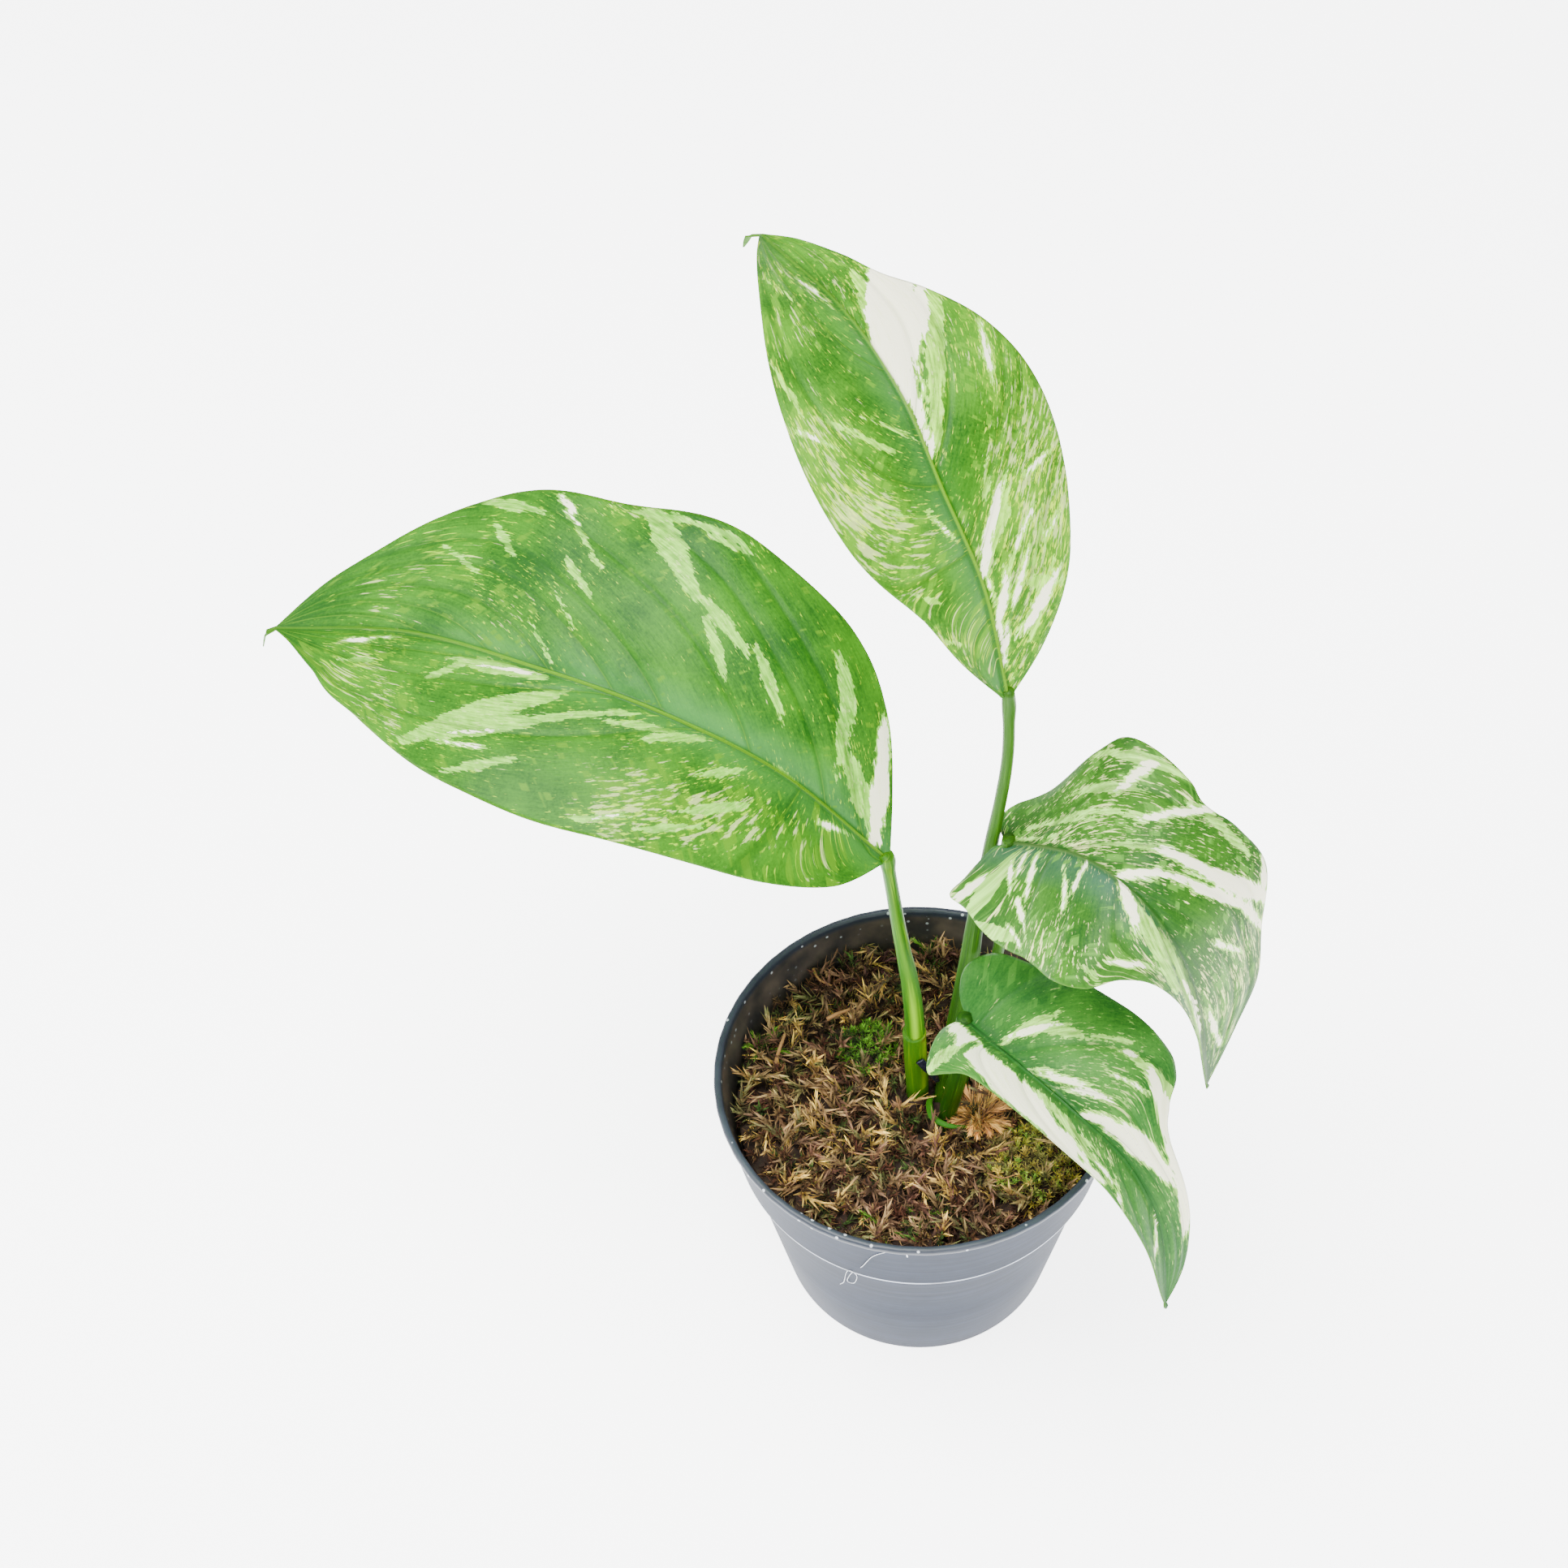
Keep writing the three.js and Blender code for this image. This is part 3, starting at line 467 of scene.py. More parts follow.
def shoot(length, arch, leaflets, leaflet_length, width, open_angle, seed):
    """A moss shoot in millimetres: slim closed leaflets all round an arching axis, longest in the middle.
    Also gives how far out each point is, 0 at the heart of the shoot to 1 at a tip."""
    random = np.random.default_rng(seed)
    points, faces, outness = [], [], []
    for k in range(leaflets):
        u = 0.08 + 0.9 * (k + 0.5) / leaflets
        here, ahead = (length * v * np.array([math.sin(arch * v), 0, math.cos(arch * v)])
                       for v in (u, u + 0.02))
        onward = unit(ahead - here)
        turn = k * GOLDEN_ANGLE + random.uniform(-0.3, 0.3)
        outward = math.cos(turn) * np.cross(onward, [0, 1, 0]) + math.sin(turn) * np.array([0, 1, 0])
        spread = math.radians(open_angle) * random.uniform(0.75, 1.15) * (1.15 - 0.75 * u)
        direction = math.cos(spread) * onward + math.sin(spread) * outward
        tip = direction * leaflet_length * (0.6 + 0.5 * math.sin(math.pi * u)) * random.uniform(0.8, 1.2)
        up = np.cross(direction, np.cross(outward, direction))
        side = unit(np.cross(direction, up)) * width / 2
        heel = here + tip * 0.12
        points += [heel + side, heel - side, here + up * width * 0.3, here + tip]
        faces += [tuple(4 * k + i for i in face) for face in LEAFLET]
        outness += [0.35 * u] * 3 + [0.5 + 0.5 * u]
    return points, faces, outness


def bed_of_shoots():
    """Geometry Nodes: scatters shoots on a surface, leans and turns each at random, and gives each a tint."""
    tree = bpy.data.node_groups.new("moss_growth", "GeometryNodeTree")
    sockets = {"Geometry": "Geometry", "Shoots": "Collection", "Spacing": "Float", "Smallest": "Float",
               "Largest": "Float", "Lean": "Float", "Seed": "Int", "Finish": "Material"}
    for name, kind in sockets.items():
        tree.interface.new_socket(name, in_out="INPUT", socket_type="NodeSocket" + kind)
    tree.interface.new_socket("Geometry", in_out="OUTPUT", socket_type="NodeSocketGeometry")
    given = add(tree, "NodeGroupInput").node.outputs
    room = add(tree, "GeometryNodeInputNamedAttribute", {"Name": "room"}, "Attribute", data_type="FLOAT")
    scatter = add(tree, "GeometryNodeDistributePointsOnFaces", {
        "Mesh": given["Geometry"], "Distance Min": given["Spacing"], "Density Max": 4e6,
        "Density Factor": room, "Seed": given["Seed"]}, distribute_method="POISSON")
    turn = add(tree, "FunctionNodeRandomValue", {"Min": (-1, -1, 0), "Max": (1, 1, 6.283),
                                                 "Seed": given["Seed"]}, data_type="FLOAT_VECTOR")
    lean = add(tree, "CombineXYZ", {0: given["Lean"], 1: given["Lean"], 2: 1.0})
    turned_by = add(tree, "VectorMath", {0: turn, 1: lean}, operation="MULTIPLY")
    size = add(tree, "FunctionNodeRandomValue", {2: given["Smallest"], 3: given["Largest"],
                                                 "Seed": given["Seed"]}, 1, data_type="FLOAT")
    kinds = add(tree, "GeometryNodeCollectionInfo", {"Collection": given["Shoots"], "Separate Children": True,
                                                     "Reset Children": True})
    placed = add(tree, "GeometryNodeInstanceOnPoints", {"Points": scatter, "Instance": kinds,
                                                        "Pick Instance": True, "Rotation": turned_by,
                                                        "Scale": size})
    tint = add(tree, "FunctionNodeRandomValue", {2: 0.0, 3: 1.0, "Seed": 77}, 1, data_type="FLOAT")
    tinted = add(tree, "GeometryNodeStoreNamedAttribute", {"Geometry": placed, "Name": "tint", "Value": tint},
                 data_type="FLOAT", domain="INSTANCE")
    real = add(tree, "GeometryNodeRealizeInstances", {"Geometry": tinted})
    dressed = add(tree, "GeometryNodeSetMaterial", {"Geometry": real, "Material": given["Finish"]})
    add(tree, "NodeGroupOutput", {"Geometry": dressed})
    return tree


MOSS_GROWTH = bed_of_shoots()


def store(piece, **numbers):
    """Keeps one number of each name for each vertex of a piece, for its material or growth to read."""
    for name, values in numbers.items():
        attribute = piece.data.attributes.new(name, "FLOAT", "POINT")
        attribute.data.foreach_set("value", np.asarray(values, np.float32))


def hold_inside(piece):
    """Presses whatever would pass through the pot's wall flat against it."""
    flat = np.empty(len(piece.data.vertices) * 3)
    piece.data.vertices.foreach_get("co", flat)
    at = flat.reshape(-1, 3)
    rise = (at[:, 2] / MM - LEDGE) / POT["collar"]
    limit = (INSIDE["ledge"] + (POT["rim"] - 2.2 - INSIDE["ledge"]) * np.clip(rise, 0, 1) - 0.7) * MM
    radius = np.hypot(at[:, 0], at[:, 1])
    at[:, :2] *= np.where(radius > limit, (limit - 0.12 * (radius - limit)) / radius, 1)[:, None]
    piece.data.vertices.foreach_set("co", at.reshape(-1))
    piece.data.update()


def grow_shoots(surface, name, kinds, material, **sizes):
    """A plain mesh of shoots that stand on `surface` wherever it has room."""
    shelf = bpy.data.collections.new(name + "_kinds")
    bpy.context.scene.collection.children.link(shelf)
    for k, (points, faces, outness) in enumerate(kinds):
        kind = make_piece(f"{name}_kind_{k}", points, faces, [], smooth=False)
        store(kind, outness=outness)
        bpy.context.scene.collection.objects.unlink(kind)
        shelf.objects.link(kind)
    grower = surface.copy()
    grower.name = name
    grower.data = surface.data.copy()
    bpy.context.scene.collection.objects.link(grower)
    growth = grower.modifiers.new("growth", "NODES")
    growth.node_group = MOSS_GROWTH
    inputs = {s.name: s.identifier for s in MOSS_GROWTH.interface.items_tree if s.in_out == "INPUT"}
    for key, value in {"shoots": shelf, "finish": material, **sizes}.items():
        growth[inputs[key.capitalize()]] = value
    keep_plain(grower)
    hold_inside(grower)
    for kind in list(shelf.objects):
        bpy.data.objects.remove(kind)
    bpy.data.collections.remove(shelf)
    return grower


def moss(codes, roughness):
    """Moss: matt, one colour to a shoot, with painted shade at its heart and painted light on its tips."""
    def build(tree):
        tint, outness = (add(tree, "Attribute", out="Fac", attribute_name=name)
                         for name in ("tint", "outness"))
        place = add(tree, "TexCoord", out="Object")
        fine, broad = (add(tree, "TexNoise", {"Vector": place, "Scale": scale, "Detail": detail}, "Fac")
                       for scale, detail in ((480.0, 3.0), (45.0, 2.0)))
        # Painted shade deep in each shoot and painted light on its tips, by how far out each point is
        ramps = ((broad, 0.3, 0.7, -0.25, 0.25), (outness, 0, 1, 0.06, 2.35), (fine, 0.3, 0.7, 0.6, 1.4))
        shift, lit, shade = (add(tree, "MapRange", dict(zip(RAMP, ramp))) for ramp in ramps)
        pick = add(tree, "Math", {0: tint, 1: shift}, operation="ADD")
        band = add(tree, "ValToRGB", {"Fac": pick})
        while len(band.node.color_ramp.elements) < len(codes):
            band.node.color_ramp.elements.new(0.5)
        for k, element in enumerate(band.node.color_ramp.elements):
            element.position = k / (len(codes) - 1)
            element.color = colour(codes[k])
        both = add(tree, "Math", {0: lit, 1: shade}, operation="MULTIPLY")
        toned = add(tree, "Mix", {0: 1.0, 6: band, 7: both}, data_type="RGBA", out=2, blend_type="MULTIPLY")
        return {"Base Color": toned, "Roughness": roughness, "Specular IOR Level": 0.25}
    return build


def bed_room(x, y, z):
    """How freely shoots may stand at a point of the humus: not by the stems, and thinly in bare spots."""
    if z < MOSS["bottom"] + 2 or math.hypot(x, y) > MOSS["radius"] - 2.5:
        return 0.0
    if any(math.hypot(x - sx, y - sy) < r + 1.2 for sx, sy, r in STEM_FEET):
        return 0.0
    bare = math.sin(0.31 * x + 0.4) * math.sin(0.27 * y - 1.1) + 0.6 * math.sin(0.6 * x - 0.45 * y)
    return 0.15 if bare > 0.7 else 1.0


THATCH = ["#331f14", "#4b3020", "#583325", "#63442b", "#3e331e", "#445e28", "#3f291a"]
PLUMES = ["#614633", "#83654b", "#aa895a", "#70483b", "#83654b", "#ba9964", "#6e7041", "#664a39", "#ffd166",
          "#8a6945"]
# Damp humus: almost black-brown, crumbly, matt
damp_humus = finish_material("damp_humus", mottled("#0f0b08", "#40291a", 480, 5, 0.9, (0.9, 0.001)))
bed_points, bed_faces = moss_base()
bed = make_piece("moss_humus", bed_points, bed_faces, [damp_humus])
store(bed, room=[bed_room(*point) for point in bed_points])
tufts = [shoot(5, 0.9, 12, 2.6, 0.8, 62, 1), shoot(4.5, 0.5, 12, 2.7, 0.85, 70, 2)]
thatch = grow_shoots(bed, "moss_thatch", tufts, finish_material("dried_moss_thatch", moss(THATCH, 0.85)),
                     spacing=2.4 * MM, smallest=0.7, largest=1.2, lean=0.9, seed=5)
fronds = [shoot(9.5, 1.1, 14, 4.2, 0.9, 42, 3), shoot(8, 0.7, 13, 4.4, 0.95, 46, 4),
          shoot(11, 1.4, 15, 4.0, 0.85, 38, 5), shoot(7, 1.7, 13, 4.2, 1.0, 48, 6)]
plumes = grow_shoots(bed, "moss_plumes", fronds, finish_material("dried_moss_plumes", moss(PLUMES, 0.8)),
                     spacing=2.8 * MM, smallest=0.55, largest=1.25, lean=0.8, seed=8)
settle(bed, "moss_bed")
for piece in (thatch, plumes):
    settle(piece)


# Loose fronds. A big golden tuft of dried moss stands up beside the stems, a few living green sprigs have
# come up through the bed, and purplish dead tufts lie against its back.
FANS = {
    "golden_tuft": {"slot": "dry_moss", "codes": ["#886242", "#dda364", "#ffd170"], "spots": [
        ((17.5, -8.5, 79), 16, 9.5, 60, 4.2, 0.55, 0.7)]},
    "green_sprigs": {"slot": "green_moss", "codes": ["#406020", "#5a8a25", "#75a432"], "spots": [
        ((2.5, 52, 78.5), 5, 6, 18, 2.6, 0.5, 0.7), ((-47, 15, 78), 6, 7, 20, 3, 0.5, 0.8),
        ((-9, -46, 78.5), 3, 9, 26, 2.6, 0.5, 1.3), ((2, -40, 78.5), 3, 8, 24, 2.4, 0.5, 1.3)]},
    "dead_tufts": {"slot": "dry_moss", "codes": ["#432825", "#603e3a", "#775549"], "spots": [
        ((-13.5, 47, 78), 6, 6, 20, 2.6, 0.9, 0.9), ((6, 53, 78), 5, 5.5, 18, 2.6, 0.9, 0.9),
        ((-17, 40, 78), 5, 6, 18, 2.4, 0.8, 0.9)]},
}


def fan(centre, count, reach, leaflets, leaflet_length, width, rise, seed):
    """Fronds fanned out from one point, in millimetres, with one tint to each."""
    random = np.random.default_rng(seed)
    bodies = []
    for k in range(count):
        points, faces, outness = shoot(reach * random.uniform(0.8, 1.1), 0.5, leaflets, leaflet_length, width,
                                       38, seed + k)
        lean = rise * random.uniform(0.5, 1.2)
        turn = Matrix.Rotation(2 * math.pi * (k + random.uniform(-0.3, 0.3)) / count, 3, "Z")
        tip = turn @ Matrix.Rotation(lean, 3, "Y")
        placed = [tip @ Vector(p) + Vector(centre) for p in points]
        bodies.append((placed, faces, outness, [random.uniform(0, 1)] * len(points)))
    return join(bodies)


for name, kind in FANS.items():
    fans = [fan(*spot, seed=31 + 10 * k) for k, spot in enumerate(kind["spots"])]
    points, faces, outness, tint = join(fans)
    piece = make_piece(name, points, faces, [finish_material(f"moss_{name}", moss(kind["codes"], 0.8))],
                       smooth=False)
    store(piece, outness=outness, tint=tint)
    hold_inside(piece)
    settle(piece)


# Litter. Splinters of pale split bark from the potting mix and a few thin red-brown moss stalks lie loose
# on top of the moss.
LITTER = [
    ([(-43, 7, 82), (-42, 12, 83), (-40.5, 17.5, 83.5)], 0.75),
    ([(-28, 23.5, 83), (-25, 25, 83.8), (-21, 27, 83.5)], 0.7),
    ([(-6.5, -3.5, 83), (-5.6, -8, 84), (-4.6, -12, 82.5)], 0.3),
    ([(-33, 43, 82), (-31, 38, 83.5), (-27, 36, 83)], 0.5),
    ([(20, -28, 82), (24, -31, 84.5), (28, -30, 85)], 0.25),
    ([(-20, -22, 82), (-14, -24, 84), (-8, -22, 83)], 0.25),
    ([(-30, -12, 82), (-34, -8, 84), (-39, -8, 83)], 0.25),
    ([(8, -34, 82), (5, -29, 84.5), (6, -24, 84)], 0.25),
]
points, faces, *_ = join([tube(route, 14, 6, (0.2, 0.1, 1), round_outline(thick, thick * 0.6))
                          for route, thick in LITTER])
# Split bark and dry stalks: matt, pinkish tan with fine grain
split_bark = finish_material("split_bark", mottled("#5b3216", "#d09a5e", 350, 4, 0.8))
settle(make_piece("litter", points, faces, [split_bark]))


# Moss cushions. Two tufts of living moss, star-shaped shoots packed upright: a small bright green one
# behind the stems and a broad olive one in front on the right.
CUSHIONS = {
    "left": {"centre": (-15.3, 15, 0), "size": (8, 8.5, 1), "top": 83.5,
             "greens": ["#283a13", "#406020", "#5a8a25", "#75a432"]},
    "right": {"centre": (33.5, -23, 0), "size": (13, 12.5, 1), "top": 83,
              "greens": ["#665b32", "#958f4f", "#c5af44", "#709a36", "#a68d4c", "#eac853"]},
}
stars = [shoot(4.2, 0.2, 15, 2.4, 0.65, 62, 11), shoot(3.6, 0.4, 14, 2.2, 0.6, 70, 12)]
for side, cushion in CUSHIONS.items():
    foot, top = MOSS["surface"] - 4.3, cushion["top"]
    points, faces = turned([(0, foot), (0.95, foot), (0.99, top - 5), (0.9, top - 3.4), (0.66, top - 2.2),
                            (0.35, top - 1.6), (0, top - 1.4)], 40)
    points = points * cushion["size"] + cushion["centre"]
    dome = make_piece(f"cushion_ground_{side}", points, faces, [damp_humus])
    store(dome, room=points[:, 2] > MOSS["surface"] - 2)
    finish = finish_material(f"living_moss_{side}", moss(cushion["greens"], 0.65))
    stand = grow_shoots(dome, f"cushion_shoots_{side}", stars, finish, spacing=1.5 * MM, smallest=0.7,
                        largest=1.0, lean=0.4, seed=9)
    settle(dome, f"moss_cushion_{side}")
    settle(stand)


# Stems. A buried rhizome with its roots, and the old upright stem with the brown ring that its last
# leaf left. Smooth and juicy: yellow-green with long pale lines.
def eased(values, u):
    """Values spread evenly from base to tip, eased from one to the next. One value holds all along."""
    values = np.array([*values, values[-1]], float)
    at = np.clip(u, 0, 1) * (len(values) - 2)
    i = at.astype(int)
    blend = (1 - np.cos(np.pi * (at - i))) / 2
    return values[i] * (1 - blend) + values[i + 1] * blend


def juicy_stem(low, middle, pale):
    """A living stem: satin and juicy, with pale lines along it where its strands run, and a pale band of
    painted highlight down a lit side.
    """
    def build(tree):
        turn, height, stripe, scar = (add(tree, "Attribute", out="Fac", attribute_name=name)
                                      for name in ("turn", "height", "stripe", "scar"))
        laid = add(tree, "CombineXYZ", {0: turn, 1: height})
        noises = []
        for scale, detail in (((26, 0.035, 1), 4.0), ((5, 0.02, 1), 2.0)):
            place = add(tree, "Mapping", {"Vector": laid, "Scale": scale})
            noises.append(add(tree, "TexNoise", {"Vector": place, "Scale": 1.0, "Detail": detail}, "Fac"))
        strands, bands = noises
        # The pale tone also lays a painted highlight down a lit side, where the stored attribute gives it
        skin = painted(tree, low, (middle, (bands, 0.35, 0.65)), (pale, (strands, 0.56, 0.74, 0, 0.6)),
                       (pale, (stripe, 0, 1)), ("#523715", (scar, 0, 1)))
        bump = add(tree, "Bump", {"Height": strands, "Strength": 0.35, "Distance": 0.0004})
        return {"Base Color": skin, "Roughness": 0.42, "Specular IOR Level": 0.15, "Normal": bump}
    return build


INTERNODE = [(-0.6, 0.4, 56), (-0.4, 1, 80), (-1, 1.6, 95.7), (-1.4, 2.2, 108.6)]
RHIZOME = [(-9, 2, 54), (-1.5, 0.4, 56), (8, -1, 56.5), (17, -2, 54.5)]
ROOTS = [
    [(-7, 2, 54), (-20, 8, 44), (-27, 12, 28), (-29, 20, 10)],
    [(-2, 0, 54), (-8, -12, 42), (-12, -20, 26), (-8, -26, 9)],
    [(4, 0, 54), (6, 14, 44), (2, 24, 28), (8, 30, 10)],
    [(10, -1, 54), (20, -12, 44), (24, -18, 28), (18, -24, 9)],
    [(15, -2, 54), (28, 4, 44), (32, 12, 30), (30, 16, 12)],
]


def internode_outline(u, angle):
    """Almost round, with the raised ring of the leaf scar near the top."""
    radius = 3.35 + 0.12 * np.exp(-((u - 0.985) / 0.012) ** 2) + 0.12 * np.cos(3 * angle + 0.5)
    return radius * np.cos(angle), radius * np.sin(angle)


stem_bodies = [tube(INTERNODE, 60, 28, (0, -1, 0), internode_outline),
               tube(RHIZOME, 20, 16, (0, 0, 1), round_outline(5.2, 4.4))]
for route in ROOTS:
    facing = (route[0][1] - route[-1][1], route[-1][0] - route[0][0], 0)
    stem_bodies.append(tube(route, 24, 8, facing, round_outline(1.9, 1.1)))
points, faces, turn, height = join(stem_bodies)
stem = make_piece("stem_and_roots", points, faces,
                  [finish_material("juicy_stem_old", juicy_stem("#205507", "#457806", "#82a608"))])
x, z = points[:, 0], points[:, 2]
scar = np.exp(-((z - INTERNODE[-1][2] + 1.2) / 0.8) ** 2) * np.clip(x * 0.8 - 0.2, 0, 1)
# A painted highlight down the stem's right side, above the moss
stripe = np.exp(-((x - 1.7) / 0.7) ** 2) * (z > 84) * 0.8
store(stem, turn=turn, height=height, scar=scar, stripe=stripe)
settle(stem, "stem")


# Leaf stalks. Four petioles, each a smooth channelled rod with a thin wing of old sheath low down and
# a thicker knee under its blade.
PETIOLES = {
    "left": {
        "route": [(-1.4, 2.2, 108.9), (-1.9, 2.7, 119.4), (-3, 3.3, 132), (-4.6, 4, 144.2),
                  (-6.1, 4.6, 156.2), (-7.8, 5.4, 171.2), (-9.3, 6.1, 184.5)],
        "radii": [3.1, 3, 2.7, 2.3, 2.1, 2, 2], "facing": (-0.8, -0.3, 0.1), "wing": 0.45,
        "tones": ("#1d5304", "#397204", "#9ed704"), "stripes": [(0.22, 0.05, 0.8), (0.74, 0.05, 0.6)],
    },
    "upper": {
        "route": [(5.8, -1.6, 56), (7.2, -2, 72), (8.9, 1.4, 89.5), (11.1, 5.3, 110), (13.8, 9.1, 133.6),
                  (15.2, 11.5, 149.5), (18.4, 14.1, 177.8), (21.2, 10.4, 214.8), (20.8, 5.6, 240),
                  (20.2, 4, 249.5)],
        "radii": [2.8, 3, 3, 2.8, 2.4, 1.9, 1.6, 1.5, 1.4], "facing": (-0.4, -0.9, 0), "wing": 0.4,
        "tones": ("#214a03", "#315f0a", "#528e14"), "stripes": [(0.2, 0.04, 0.4)],
    },
    "right": {
        "route": [(12.5, 2.2, 56), (12.2, 2.6, 74), (17.3, 6.4, 108), (22, 10, 139), (23.2, 11.4, 163),
                  (23, 11, 186)],
        "radii": [1.9, 2, 2, 1.8, 1.7, 1.7], "facing": (0.9, -0.4, 0), "wing": 0,
        "tones": ("#214a03", "#315f0a", "#528e14"), "stripes": [],
    },
    "front": {
        "route": [(9.6, -6.6, 56), (8.6, -8.2, 73.3), (9.1, -8.5, 86.2), (11.3, -10.5, 106.2),
                  (12.1, -12, 122.5), (12.5, -13.4, 138.5)],
        "radii": [2.6, 2.7, 2.8, 2.5, 2.1], "facing": (0.5, -0.8, 0), "wing": 0.4,
        "tones": ("#063104", "#1e4704", "#4e800e"), "stripes": [(0.0, 0.05, 0.5)],
    },
}


def petiole_outline(shape):
    """Round, with a channel in front, two wings behind and a knee at the top."""
    def outline(u, angle):
        radius = eased(shape["radii"], u) * (1 + 0.25 * np.exp(-((u - 0.97) / 0.03) ** 2))
        channel = 0.22 * np.maximum(0, np.cos(angle)) ** 3
        wings = np.exp(-((np.abs(angle - np.pi) - 2.0) / 0.22) ** 2)
        spread = radius * (1 - channel) + 0.6 * shape["wing"] * (1 - u) * wings
        return spread * np.cos(angle), spread * np.sin(angle)
    return outline


for name, shape in PETIOLES.items():
    points, faces, turn, height = tube(shape["route"], 110, 32, shape["facing"], petiole_outline(shape))
    petiole = make_piece(f"leaf_stalk_{name}", points, faces,
                         [finish_material(f"juicy_stalk_{name}", juicy_stem(*shape["tones"]))])
    # Painted highlights down the sides of each stalk, strongest low down
    stripe = 0 * turn
    for at, spread, amount in shape["stripes"]:
        away = (turn - at + 0.5) % 1 - 0.5
        low_down = 0.15 + 0.85 * np.exp(-(height / 20) ** 4)
        stripe = np.maximum(stripe, amount * low_down * np.exp(-(away / spread) ** 2))
    store(petiole, turn=turn, height=height, scar=0 * turn, stripe=stripe)
    settle(petiole, f"petiole_{name}")


